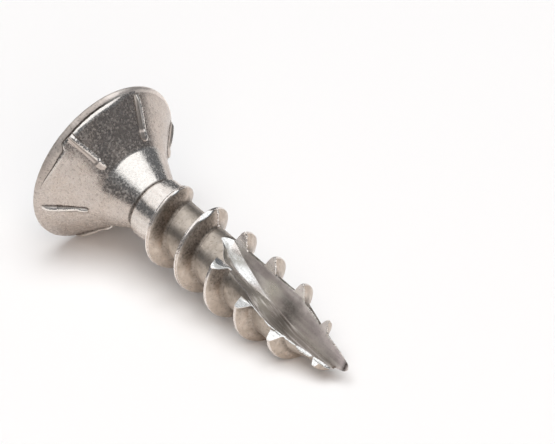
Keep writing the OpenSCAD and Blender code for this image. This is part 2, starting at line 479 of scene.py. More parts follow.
@dataclass(frozen=True)
class SteelFinish:
    """One finish of the steel. Sizes and depths are in millimetres."""

    name: str
    colour: Colour
    shade: Colour
    tint: Colour
    mottle_size: float
    mottle_mix: float
    tint_mix: float
    speck_mix: float
    rough_low: float
    rough_high: float
    grain_size: float
    grain_depth: float
    marks: Marks
    line_size: float
    line_depth: float
    line_mix: float
    fleck_mix: float = 0.0
    fleck_rough: float = 0.0
    # Dark colour of the grain's specks and of painted shade.
    shade_and_specks: Colour = (0.055, 0.042, 0.032)
    # Light colour of tool lines and flecks, of painted highlights and of the collar's lighter tone.
    bright: Colour = (0.76, 0.72, 0.68)
    # Extra roughness where shade is painted.
    shade_rough: float = 0.25
    # How far roughness drops where highlights are painted.
    sheen_and_wear_smooth: float = 0.45

    def make(self, effects: SurfaceEffects) -> bpy.types.Material:
        """Builds the material.

        Args:
            effects: The node groups that finishes share.

        Returns:
            The material.
        """
        material = bpy.data.materials.new(self.name)
        material.use_nodes = True
        graph = Graph(material.node_tree)
        shader = material.node_tree.nodes["Principled BSDF"]
        shader.inputs["Metallic"].default_value = 1.0
        axes = graph.group(effects.axes, {"Position": graph.node("TexCoord").outputs["Object"]})
        place = axes["Place"]
        grain = graph.group(effects.grain, {"Place": place, "Size": self.grain_size})
        mottle = graph.group(effects.mottle, {"Place": place, "Size": self.mottle_size})
        lines = graph.group(effects.lines, {"Stretched": axes[self.marks.value], "Size": self.line_size})
        light_and_wear = graph.group(effects.light_and_wear, {"Place": place})
        flecks = graph.ramp(grain["Height"], 0.5, 0.72)

        layers = (
            (mottle["Clouds"], self.mottle_mix, self.shade),
            (mottle["Patches"], self.tint_mix, self.tint),
            (lines["Bright"], self.line_mix, self.bright),
            (grain["Specks"], self.speck_mix, self.shade_and_specks),
            (flecks, self.fleck_mix, self.bright),
            # Painted shade and painted highlights from the mesh marks, with the collar's lighter tone.
            (light_and_wear["Shade_and_specks"], 1.0, self.shade_and_specks),
            (light_and_wear["Highlight_and_wear"], 1.0, self.bright),
        )
        colour = (*self.colour, 1)
        for mask, share, over in layers:
            colour = graph.mix(graph.math("MULTIPLY", mask, share), colour, over)
        graph.tree.links.new(colour, shader.inputs["Base Color"])

        dull = graph.ramp(mottle["Clouds"], 0.0, 1.0, self.rough_low, self.rough_high)
        gritty = graph.math("MULTIPLY_ADD", flecks, self.fleck_rough, dull)
        # Rougher where shade is painted, smoother where highlights are painted.
        rough_in_shade = graph.math("MULTIPLY_ADD", light_and_wear["Shade_and_specks"], self.shade_rough, gritty)
        sheen_and_wear = graph.math("MULTIPLY_ADD", light_and_wear["Highlight_and_wear"], -self.rough_low * self.sheen_and_wear_smooth, rough_in_shade)
        graph.tree.links.new(sheen_and_wear, shader.inputs["Roughness"])

        pits = graph.math("MULTIPLY", grain["Height"], self.grain_depth)
        height = graph.math("MULTIPLY_ADD", lines["Height"], self.line_depth, pits)
        bump = graph.node("Bump", {"Height": height, "Distance": MM, "Strength": 1.0})
        graph.tree.links.new(bump.outputs[0], shader.inputs["Normal"])
        return material


FORMED = SteelFinish(
    name="formed_steel",
    colour=(0.60, 0.515, 0.455),
    shade=(0.49, 0.42, 0.37),
    tint=(0.55, 0.50, 0.47),
    mottle_size=0.5,
    mottle_mix=0.6,
    tint_mix=0.4,
    speck_mix=0.3,
    rough_low=0.17,
    rough_high=0.28,
    grain_size=0.11,
    grain_depth=0.005,
    marks=Marks.AROUND,
    line_size=0.06,
    line_depth=0.0006,
    line_mix=0.05,
    fleck_mix=0.35,
    fleck_rough=0.33,
    bright=(0.90, 0.86, 0.81),
)
RIBBED = replace(FORMED, name="rib_steel", fleck_mix=0.0, rough_low=0.26, rough_high=0.36, fleck_rough=0.0)
FACED = SteelFinish(
    name="faced_steel",
    colour=(0.60, 0.53, 0.48),
    shade=(0.50, 0.43, 0.38),
    tint=(0.66, 0.60, 0.55),
    mottle_size=0.6,
    mottle_mix=0.6,
    tint_mix=0.4,
    speck_mix=0.4,
    rough_low=0.26,
    rough_high=0.4,
    grain_size=0.08,
    grain_depth=0.004,
    marks=Marks.RADIAL,
    line_size=0.06,
    line_depth=0.006,
    line_mix=0.25,
)
# Rougher rim finish, whose light colour is that of the painted highlight on the rim and countersink.
RIMMED = replace(FACED, name="rim_steel", rough_low=0.5, rough_high=0.6, bright=(0.95, 0.86, 0.79))
ROLLED = SteelFinish(
    name="rolled_steel",
    colour=(0.48, 0.41, 0.345),
    shade=(0.31, 0.26, 0.215),
    tint=(0.58, 0.51, 0.44),
    mottle_size=0.42,
    mottle_mix=0.9,
    tint_mix=0.5,
    speck_mix=0.3,
    rough_low=0.3,
    rough_high=0.5,
    grain_size=0.1,
    grain_depth=0.006,
    marks=Marks.AROUND,
    line_size=0.05,
    line_depth=0.002,
    line_mix=0.12,
)
RIDGED = SteelFinish(
    name="thread_steel",
    colour=(0.63, 0.535, 0.455),
    shade=(0.42, 0.345, 0.28),
    tint=(0.50, 0.42, 0.35),
    mottle_size=0.5,
    mottle_mix=0.8,
    tint_mix=0.5,
    speck_mix=0.25,
    rough_low=0.24,
    rough_high=0.4,
    grain_size=0.1,
    grain_depth=0.004,
    marks=Marks.AROUND,
    line_size=0.05,
    line_depth=0.002,
    line_mix=0.12,
    bright=(0.97, 0.92, 0.88),
)
MILLED = SteelFinish(
    name="milled_floor_steel",
    colour=(0.35, 0.335, 0.30),
    shade=(0.24, 0.225, 0.195),
    tint=(0.31, 0.29, 0.245),
    mottle_size=0.7,
    mottle_mix=0.6,
    tint_mix=0.5,
    speck_mix=0.0,
    rough_low=0.24,
    rough_high=0.34,
    grain_size=0.09,
    grain_depth=0.0005,
    marks=Marks.ALONG,
    line_size=0.09,
    line_depth=0.0012,
    line_mix=0.45,
    bright=(0.96, 0.95, 0.93),
)
SAWN = SteelFinish(
    name="milled_wall_steel",
    colour=(0.82, 0.74, 0.695),
    shade=(0.53, 0.465, 0.44),
    tint=(0.68, 0.575, 0.585),
    mottle_size=0.8,
    mottle_mix=0.9,
    tint_mix=0.5,
    speck_mix=0.15,
    rough_low=0.28,
    rough_high=0.44,
    grain_size=0.08,
    grain_depth=0.003,
    marks=Marks.ALONG,
    line_size=0.11,
    line_depth=0.003,
    line_mix=0.5,
    bright=(0.95, 0.89, 0.83),
)


@dataclass(frozen=True)
class Bench:
    """Where pieces are finished and fixed into the frame."""

    axis: ScrewAxis
    coats: dict[str, bpy.types.Material]

    def put(
        self, sketch: MeshSketch, name: str, node: str, finishes: list[SteelFinish], sharp: float
    ) -> None:
        """Makes a piece, dresses it and lets it stand for a CAD node.

        Args:
            sketch: The piece's drawn sheets.
            name: Name of the piece.
            node: The CAD node that it stands for.
            finishes: Its finishes, in the order that the sheets number them.
            sharp: Edges sharper than this many degrees stay crisp.
        """
        piece = sketch.make(name, self.axis, sharp)
        for finish in finishes:
            piece.data.materials.append(self.coats[finish.name])
        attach(piece, BODY)
        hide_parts(node)
        LOG.info("%s: %d faces, stands for %s", name, len(piece.data.polygons), node)


@dataclass(frozen=True)
class DriveRecess:
    """The six-lobe recess in the drive face."""

    lobes: int = 6
    lobe_d: float = 3.94
    waist_d: float = 2.82
    lobe_round: float = 0.33
    depth: float = 1.5
    dish: float = 0.3
    dish_r: float = 1.31
    mouth_round: float = 0.13
    mouth_rows: int = 6
    floor_round: float = 0.1

    def radius(self, turn: np.ndarray) -> np.ndarray:
        """Radius of the outline at each turn about the axis.

        Args:
            turn: Turns, in radians.

        Returns:
            One radius for each turn.
        """
        half = math.pi / self.lobes
        at = self.lobe_d / 2 - self.lobe_round
        waist = self.waist_d / 2
        reach = at * math.cos(half)
        top = waist**2 + at**2 - 2 * waist * reach - self.lobe_round**2
        hollow_r = top / (2 * (self.lobe_round - waist + reach))
        hollow_at = waist + hollow_r
        touch = math.atan2(hollow_at * math.sin(half), hollow_at * math.cos(half) - at)
        meet = math.atan2(self.lobe_round * math.sin(touch), at + self.lobe_round * math.cos(touch))
        off = np.abs((turn + half) % (2 * half) - half)
        lobe = at * np.cos(off) + np.sqrt(np.maximum(self.lobe_round**2 - (at * np.sin(off)) ** 2, 0))
        side = half - off
        drop = np.sqrt(np.maximum(hollow_r**2 - (hollow_at * np.sin(side)) ** 2, 0))
        return np.where(off < meet, lobe, hollow_at * np.cos(side) - drop)

    def rings(self, turn: np.ndarray) -> list[np.ndarray]:
        """Rings of points from the middle of the floor up to the face.

        Args:
            turn: Turns of the columns, in radians.

        Returns:
            One array of points for each ring.
        """
        edge = polar(self.radius(turn), turn, 0.0)
        ahead = np.roll(edge, -1, axis=0) - np.roll(edge, 1, axis=0)
        outward = np.stack([ahead[:, 1], -ahead[:, 0], np.zeros(len(turn))], axis=1)
        outward /= np.linalg.norm(outward, axis=1, keepdims=True)
        along = np.array([0.0, 0.0, 1.0])
        made = [
            polar(self.dish_r * share, turn, self.depth + self.dish * (1 - share))
            for share in (0.0, 0.15, 0.35, 0.6, 0.8, 0.94, 1.0)
        ]
        foot = edge - outward * self.floor_round + along * self.depth
        made += [blend(made[-1], foot, share) for share in (0.35, 0.7, 1.0)]
        for angle in np.radians((25, 50, 70, 90)):
            drop = self.floor_round * (1 - math.cos(angle))
            inset = self.floor_round * (1 - math.sin(angle))
            made.append(edge - outward * inset + along * (self.depth - drop))
        top = self.mouth_round
        low = self.depth - self.floor_round
        made += [edge + along * blend(low, top, share) for share in (0.2, 0.45, 0.7, 0.9, 1.0)]
        for angle in np.radians(np.linspace(15, 90, self.mouth_rows)):
            lift = top * (1 - math.sin(angle))
            made.append(edge + outward * top * (1 - math.cos(angle)) + along * lift)
        return made


@dataclass(frozen=True)
class Underhead:
    """The shape from the rim down to the collar, shared by head, ribs and neck."""

    rim_r: float = 4.5
    rim_h: float = 0.35
    rim_round: float = 0.268
    ledge_round: float = 0.35
    cone_sum: float = 4.961
    ledge_from: float = math.radians(-22)
    ledge_rise: float = math.radians(30)
    ledge_rib: float = math.radians(47)
    ledge_to: float = math.radians(90)
    ledge_slight: float = 0.5
    late_width: float = 0.62
    late_height: float = 0.27
    ledge_bulge: float = 0.13
    head_h: float = 2.06078
    lower_slope: float = 0.869
    crease_h: float = 2.69
    collar_h: float = 4.45078
    neck_end_r: float = 1.42
    flat_from: float = math.radians(47)
    flat_top: float = math.radians(88)
    flat_to: float = math.radians(126)
    flat_height: float = 0.056
    flat_lead: float = 0.2
    flat_len: float = 0.45
    broad_drop: float = math.radians(6)
    slight_drop: float = math.radians(30)
    bulge_from_h: float = 0.85
    bulge_len: float = 1.15
    foot_blend: float = 0.03
    crease_blend: float = 0.012

    def ledge(self, turn: np.ndarray) -> np.ndarray:
        """How far the rim stands over the countersink, from 0 to 1.

        Args:
            turn: Turns about the axis.

        Returns:
            One share for each turn: a broad step up to a rib and a slight one beyond it.
        """
        off = signed(turn)
        begin = ease_over(off, self.ledge_from, self.ledge_rise)
        broad = smooth_step((self.ledge_rib - off) / self.broad_drop)
        slight = self.ledge_slight * smooth_step((self.ledge_to - off) / self.slight_drop)
        return begin * np.maximum(broad, slight)

    def flattened(self, turn: np.ndarray) -> np.ndarray:
        """The neck's radius over a true round, where forming has flattened one side.

        Args:
            turn: Turns about the axis.

        Returns:
            A factor for each turn.
        """
        turn = turn % FULL_TURN
        rise = ease_between(turn, self.flat_from, self.flat_top)
        fall = ease_between(turn, self.flat_top, self.flat_to)
        return 1 + self.flat_height * (rise - fall)

    def radius(self, height: np.ndarray | float) -> np.ndarray:
        """Radius of countersink and neck.

        Args:
            height: Heights along the axis.

        Returns:
            One radius for each height.
        """
        height = np.asarray(height, float)
        cone = self.cone_sum - height
        lower = self.cone_sum - self.head_h - self.lower_slope * (height - self.head_h)
        crease_r = self.cone_sum - self.head_h - self.lower_slope * (self.crease_h - self.head_h)
        slope = (crease_r - self.neck_end_r) / (self.collar_h - self.crease_h)
        neck = crease_r - slope * (height - self.crease_h)
        return soft_max(soft_max(cone, lower, self.foot_blend), neck, self.crease_blend)

    def surface(self, height: np.ndarray, turn: np.ndarray) -> np.ndarray:
        """Radius at heights and turns, with the countersink's bulge and the neck's flat side.

        Args:
            height: Heights along the axis.
            turn: Turns about the axis.

        Returns:
            One radius for each place.
        """
        fade = 1 - ease_over(height, self.bulge_from_h, self.bulge_len)
        bulge = self.ledge_bulge * self.ledge(turn) * fade
        neck = smooth_step((height - self.head_h - self.flat_lead) / self.flat_len)
        return self.radius(height) * blend(1.0, self.flattened(turn), neck) + bulge


@dataclass(frozen=True)
class CountersunkHead:
    """The head with its drive face, bevelled rim, ledge and countersink."""

    form: Underhead
    recess: DriveRecess
    columns: int = 432
    ring_r: float = 2.75
    ring_dip: float = 0.025
    bevel_r: float = 3.72
    bevel_round: float = 0.9
    bevel_turn: float = math.radians(28)
    edge_in: float = 0.035
    edge_back: float = 0.075
    corner_in: float = 0.008
    corner_back: float = 0.035
    wobble: float = 0.014
    wobble_len: float = 2.2
    ragged: float = 0.02
    ragged_len: float = 0.33
    rim_turn: float = math.radians(45)
    late_blend: float = 0.08
    chamfer: float = 0.012
    groove_least: float = 0.02
    groove_in: float = 0.085
    groove_low: float = 0.05
    groove_ease: tuple[float, float] = (0.004, 0.006)
    land_out: float = 0.03
    land_least: float = 0.012
    land_len: float = 0.2
    land_swell: float = 0.02
    land_gap: float = 0.003
    cone_gap: float = 0.008
    cone_spread: float = 1.2
    # Where the painted highlight patch on the head lies and how soft it is, and how strong it is.
    pale_turn: float = math.radians(-40)
    pale_cos: float = 0.6
    pale_blend: float = 0.2
    plain_below: float = 0.02
    sheen_and_wear: float = 0.9
    edge_rows: int = 4
    rim_rows: int = 10
    groove_rows: int = 3
    land_shares: tuple[float, ...] = (0.06, 0.4, 0.7, 0.93)
    cone_rows: int = 32
    pale_rows: int = 2
    sharp_deg: float = 38

    def face_rings(self, turn: np.ndarray, mouth: np.ndarray) -> list[np.ndarray]:
        """Rings from the recess out to the rim's widest edge.

        Args:
            turn: Turns of the columns.
            mouth: The ring round the recess's mouth.

        Returns:
            One array of points for each ring.
        """
        made = []
        pressed = polar(self.ring_r, turn, 0.0)
        for share in (0.2, 0.4, 0.6, 0.8, 1.0):
            ring = blend(mouth, pressed, share)
            ring[:, 2] += self.ring_dip * math.sin(math.pi * share)
            made.append(ring)
        for share in np.linspace(0.15, 1.0, 6):
            made.append(polar(blend(self.ring_r, self.bevel_r, share), turn, 0.0))
        for share in (0.2, 0.4, 0.6, 0.8, 1.0):
            angle = share * self.bevel_turn
            radius = self.bevel_r + self.bevel_round * math.sin(angle)
            made.append(polar(radius, turn, self.bevel_round * (1 - math.cos(angle))))
        edge = polar(self.form.rim_r - self.edge_in, turn, self.form.rim_h - self.edge_back)
        start = made[-1]
        made += [blend(start, edge, share) for share in (0.35, 0.7, 1.0)]
        made.append(polar(self.form.rim_r - self.corner_in, turn, self.form.rim_h - self.corner_back))
        return made

    def rim_rings(self, turn: np.ndarray) -> list[np.ndarray]:
        """Rings over the rim's side, the ledge and the countersink.

        Args:
            turn: Turns of the columns.

        Returns:
            One array of points for each ring.
        """
        form = self.form
        step = form.ledge(turn)
        wobble = self.wobble * uneven(turn * form.rim_r, self.wobble_len, 3)
        ragged = self.ragged * uneven(turn * form.rim_r, self.ragged_len, 5) * step
        made = []
        slight = np.minimum(step / form.ledge_slight, 1)
        late = smooth_step((signed(turn) - form.ledge_rib) / self.late_blend) * slight
        round_r = form.rim_round + form.late_width * late
        round_h = blend(form.rim_round, form.ledge_round, step) + form.late_height * late
        for share in np.linspace(0.0, 1.0, self.rim_rows):
            angle = self.rim_turn * share
            radius = form.rim_r - round_r * (1 - math.cos(angle)) + wobble * math.sin(math.pi * share)
            made.append(polar(radius, turn, form.rim_h + round_h * math.sin(angle) + ragged * share))
        lip_r = form.rim_r - round_r * (1 - math.cos(self.rim_turn))
        lip_h = form.rim_h + round_h * math.sin(self.rim_turn) + ragged
        made.append(polar(lip_r - self.chamfer, turn, lip_h + self.chamfer))
        groove_r = lip_r - self.groove_in * step - self.groove_least
        foot_h = lip_h + self.groove_least + self.groove_low * step
        made.append(polar(groove_r + self.groove_ease[0], turn, foot_h - self.groove_ease[1]))
        made.append(polar(groove_r, turn, foot_h))
        land_h = foot_h + self.land_least + self.land_len * step
        land_r = form.surface(land_h, turn)
        for share in self.land_shares:
            swell = self.land_swell * step * math.sin(math.pi * share)
            radius = blend(groove_r + self.land_out * step, land_r, share) + swell
            made.append(polar(radius, turn, blend(foot_h + self.land_gap, land_h, share)))
        for share in np.linspace(0.0, 1.0, self.cone_rows) ** self.cone_spread:
            height = blend(land_h + self.cone_gap, form.head_h, share)
            made.append(polar(form.surface(height, turn), turn, height))
        return made

    def build(self, bench: Bench) -> None:
        """Draws the head and puts it in the frame.

        Args:
            bench: Where pieces are finished.
        """
        turn = ring_turns(self.columns)
        inside = self.recess.rings(turn)
        face = self.face_rings(turn, inside[-1])
        rim = self.rim_rings(turn)
        closing = polar(0.0, turn, self.form.head_h)
        rings = np.array([*inside, *face, *rim, closing])
        step = self.form.ledge(turn)
        rim_row = len(inside) + len(face)
        edge_row = rim_row - self.edge_rows
        groove_row = rim_row + self.rim_rows
        land_row = groove_row + self.groove_rows
        cone_row = land_row + len(self.land_shares)
        pale_row = cone_row + self.pale_rows
        facing = np.cos(turn - self.pale_turn)
        plain = step < self.plain_below
        coat = np.zeros((len(rings) - 1, self.columns), int)
        coat[:rim_row] = 1
        coat[edge_row:groove_row] = 2
        coat[groove_row:pale_row, plain & (facing > self.pale_cos)] = 2
        shade_and_specks = np.zeros((len(rings), self.columns))
        # Painted shade inside the recess, below its mouth, and in the groove under the ledge.
        shade_and_specks[: len(inside) - self.recess.mouth_rows] = 0.75
        shade_and_specks[groove_row:land_row] = 0.95 * smooth_step(step * 4)
        # Painted highlight: a pale patch on one side, from the rim's edge to the top of the countersink,
        # and along the land.
        highlight_and_wear = np.zeros((len(rings), self.columns))
        pale = self.sheen_and_wear * ease_over(facing, self.pale_cos, self.pale_blend)
        highlight_and_wear[edge_row:pale_row] = pale
        highlight_and_wear[land_row:cone_row] = np.maximum(self.sheen_and_wear * step, pale * plain)
        sketch = MeshSketch()
        sketch.sheet(rings, True, coat, highlight_and_wear, shade_and_specks)
        bench.put(sketch, "countersunk_head", "head", [FORMED, FACED, RIMMED], self.sharp_deg)


@dataclass(frozen=True)
class CuttingRibs:
    """The saw-tooth ribs under the head, each with a ragged steep side and a gentle side."""

    form: Underhead
    count: int = 6
    first_turn: float = math.radians(41)
    start_h: float = 0.7
    end_h: float = 2.42
    height: float = 0.185
    pad_height: float = 0.145
    pad_from: float = 0.72
    steep_turn: float = math.radians(3.2)
    ramp_turn: float = math.radians(4.9)
    pad_turn: float = math.radians(6.6)
    tooth: float = 0.115
    tooth_turn: float = math.radians(0.75)
    tooth_from: float = 0.26
    tooth_drift: float = 0.25
    tooth_drift_len: float = 0.9
    pad_blend: float = 0.08
    bow_at: float = 0.25
    bow_spread: float = 1.8
    bow_power: float = 0.8
    start_share: float = 0.4
    start_len: float = 0.25
    end_len: float = 0.1
    ragged: float = 0.0035
    ragged_len: float = 0.35
    rough: float = 0.07
    rough_len: float = 0.3
    sunk: float = 0.06
    rows: int = 150
    sharp_deg: float = 32

    def pad(self, place: np.ndarray) -> np.ndarray:
        """How far a rib has widened into its pad, from 0 to 1, at places along it."""
        return ease_over(place, self.pad_from, self.pad_blend)

    def section(self, place: np.ndarray, seed: int) -> tuple[np.ndarray, np.ndarray]:
        """Outline of a rib across its length.

        Args:
            place: Places along the rib, from 0 at the rim to 1 at the neck.
            seed: Makes each rib a little different.

        Returns:
            Turns from the rib's crest and heights over the countersink, one row for each place.
        """
        run = place * (self.end_h - self.start_h) * math.sqrt(2)
        bow = np.clip(1 - (2 * (place - self.bow_at)) ** 2 / self.bow_spread, 0, 1) ** self.bow_power
        pad = self.pad(place)
        start = smooth_step(self.start_share + place / self.start_len)
        end = np.sqrt(np.clip((1.0 - place) / self.end_len, 0, 1))
        high = blend(self.height * bow * start, self.pad_height, pad) * np.sqrt(end)
        drift = self.tooth_drift * uneven(run, self.tooth_drift_len, seed)
        saw = np.abs((run / self.tooth + drift) % 1.0 - 0.5) * 2
        toothed = ease_over(place, self.tooth_from, self.pad_blend) * (1 - pad)
        teeth = self.tooth_turn * saw * toothed
        ragged = self.ragged * uneven(run, self.ragged_len, seed + 20)
        steep = -self.steep_turn * blend(0.35, 1.0, end)
        widening = self.ramp_turn * blend(0.4, 1.0, place / self.pad_from)
        foot = blend(widening, self.pad_turn, pad) * blend(0.45, 1.0, end)
        rough = 1 + self.rough * uneven(run, self.rough_len, seed + 40)
        outline = [
            (steep * 1.08, -self.sunk + 0 * high),
            (steep, 0.02 * high),
            (steep * 0.86 + ragged - teeth, 0.4 * high),
            (steep * 0.66 + ragged - 0.4 * teeth, 0.75 * high * rough),
            (steep * 0.46 + ragged, 0.96 * high * rough),
            (steep * 0.2 + 0.5 * ragged, high * rough),
            (foot * 0.02, 0.97 * high),
            (foot * 0.32, blend(0.5, 0.62, pad) * high),
            (foot * 0.6, blend(0.38, 0.48, pad) * high),
            (foot * 0.86, blend(0.26, 0.36, pad) * high),
            (foot * 0.95, blend(0.2, 0.28, pad) * high),
            (foot * 0.99, 0.1 * high),
            (foot * 1.02, -0.006 + 0 * high),
            (foot * 1.05, -self.sunk + 0 * high),
        ]
        across = np.stack([np.broadcast_to(a, place.shape) for a, _ in outline], axis=1)
        lifted = np.stack([np.broadcast_to(b, place.shape) for _, b in outline], axis=1)
        return across, lifted

    def build(self, bench: Bench) -> None:
        """Draws every rib and puts them in the frame as one piece.

        Args:
            bench: Where pieces are finished.
        """
        crest, fold = slice(3, 7), 7
        feet, sides = [1, 12], [2, 11]
        sketch = MeshSketch()
        place = np.linspace(0, 1, self.rows)
        height = blend(self.start_h, self.end_h, place)[:, None]
        for k in range(self.count):
            turn = self.first_turn + k * FULL_TURN / self.count
            across, lifted = self.section(place, k + 1)
            around = turn + across
            radius = self.form.surface(height, around)
            slope = np.gradient(radius, height[:, 0], axis=0)
            out = 1 / np.sqrt(1 + slope**2)
            points = polar(radius + lifted * out, around, height - lifted * slope * out)
            # Painted highlight along each crest; painted shade at the feet, on the lower sides and along
            # the fold.
            highlight_and_wear = np.zeros(across.shape)
            highlight_and_wear[:, crest] = 0.8
            shade_and_specks = np.zeros(across.shape)
            shade_and_specks[:, feet] = 0.9
            shade_and_specks[:, sides] = 0.5
            shade_and_specks[:, fold] = 0.75 * (1 - self.pad(place))
            numbers = sketch.sheet(points, True, 0, highlight_and_wear, shade_and_specks)
            sketch.cap(numbers[0])
            sketch.cap(numbers[-1][::-1])
        bench.put(sketch, "cutting_ribs", "ribs", [RIBBED], self.sharp_deg)


@dataclass(frozen=True)
class SlimNeck:
    """The slim cone from head to collar, with painted shade before the collar and a painted highlight."""

    form: Underhead
    shade_band_len: float = 0.22
    shade_band_blend: float = 0.08
    lit_from: float = math.radians(-48)
    lit_to: float = math.radians(58)
    lit_blend: float = 0.4
    lit_lead: float = 0.12
    lit_len: float = 0.16
    strength: float = 0.9
    columns: int = 360
    rows: int = 90
    sharp_deg: float = 38

    def build(self, bench: Bench) -> None:
        """Draws the neck and puts it in the frame.

        Args:
            bench: Where pieces are finished.
        """
        form = self.form
        turn = ring_turns(self.columns)
        height = np.linspace(form.head_h, form.collar_h, self.rows)[:, None]
        rings = polar(form.surface(height, turn[None, :]), turn[None, :], height)
        ends = [polar(0.0, turn, form.head_h), polar(0.0, turn, form.collar_h)]
        rings = np.concatenate([ends[0][None], rings, ends[1][None]])
        along = rings[:, :, 2]
        # Painted shade in a band just before the collar, in place of a fine groove's shadow.
        shade_band_h = form.collar_h - self.shade_band_len
        shade_and_specks = self.strength * smooth_step((along - shade_band_h) / self.shade_band_blend)
        # Painted highlight over one side of the neck, from about the crease towards the collar.
        off = signed(turn)
        lit = ease_over(off, self.lit_from, self.lit_blend)
        lit = lit * smooth_step((self.lit_to - off) / self.lit_blend)
        below = smooth_step((along - form.crease_h + self.lit_lead) / self.lit_len)
        highlight_and_wear = below * (self.strength - shade_and_specks) * lit
        sketch = MeshSketch()
        sketch.sheet(rings, True, 0, highlight_and_wear, shade_and_specks)
        bench.put(sketch, "slim_neck", "neck", [FORMED], self.sharp_deg)


@dataclass(frozen=True)
class PlainCollar:
    """The plain shank before the thread, which ends under the thread's first turn."""

    start_h: float = 4.45078
    radius: float = 1.68
    edge_round: float = 0.14
    inner_r: float = 1.36
    end_low: float = 5.3
    end_high: float = 6.45
    narrow: float = 0.2
    narrow_from: float = 4.95
    narrow_len: float = 1.1
    low_turn: float = math.radians(-62)
    high_turn: float = math.radians(132)
    swell: float = 0.008
    swell_len: float = 1.7
    edge_gap: float = 0.01
    end_gap: float = 0.1
    tuck_r: float = 0.05
    tuck_h: float = 0.03
    sheen_and_wear: float = 0.45
    sheen_and_wear_more: float = 0.3
    sheen_and_wear_len: float = 1.1
    columns: int = 360
    sharp_deg: float = 38

    def end_h(self, turn: np.ndarray) -> np.ndarray:
        """Height at which the collar ends, which climbs with the thread's first turn.

        Args:
            turn: Turns about the axis.

        Returns:
            One height for each turn.
        """
        off = (turn - self.low_turn) % FULL_TURN
        span = self.high_turn - self.low_turn
        climb = np.clip(off / span, 0, 1)
        drop = smooth_step((off - span) / (FULL_TURN - span))
        return blend(self.end_low, self.end_high, climb - drop)

    def side_r(self, height: np.ndarray) -> np.ndarray:
        """Radius of the collar's side, which narrows towards the thread."""
        return self.radius - self.narrow * ease_over(height, self.narrow_from, self.narrow_len)

    def build(self, bench: Bench) -> None:
        """Draws the collar and puts it in the frame.

        Args:
            bench: Where pieces are finished.
        """
        turn = ring_turns(self.columns)
        round_r = self.edge_round
        end = self.end_h(turn)
        swell = self.swell * uneven(turn * self.radius, self.swell_len, 11)
        rings = [polar(0.0, turn, self.start_h), polar(self.inner_r, turn, self.start_h)]
        for angle in np.radians(np.linspace(12, 90, 8)):
            side = self.radius - round_r * (1 - math.sin(angle)) + swell
            rings.append(polar(side, turn, self.start_h + self.edge_gap + round_r * (1 - math.cos(angle))))
        low = self.start_h + round_r
        for share in np.linspace(0.1, 1, 14):
            height = blend(low, end - self.end_gap, share)
            rings.append(polar(self.side_r(height) + swell, turn, height))
        rings.append(polar(self.side_r(end) - self.tuck_r, turn, end - self.tuck_h))
        rings.append(polar(self.inner_r, turn, end))
        rings.append(polar(0.0, turn, end))
        shade_and_specks = np.zeros((len(rings), 1))
        # Painted shade round the collar's top edge, where it meets the neck.
        shade_and_specks[1:4] = 0.8
        sketch = MeshSketch()
        # A lighter tone over the whole collar, varying at random round it.
        highlight_and_wear = self.sheen_and_wear + self.sheen_and_wear_more * uneven(turn * self.radius, self.sheen_and_wear_len, 13)
        sketch.sheet(np.array(rings), True, 0, highlight_and_wear[None, :], shade_and_specks)
        bench.put(sketch, "plain_collar", "collar", [FORMED], self.sharp_deg)


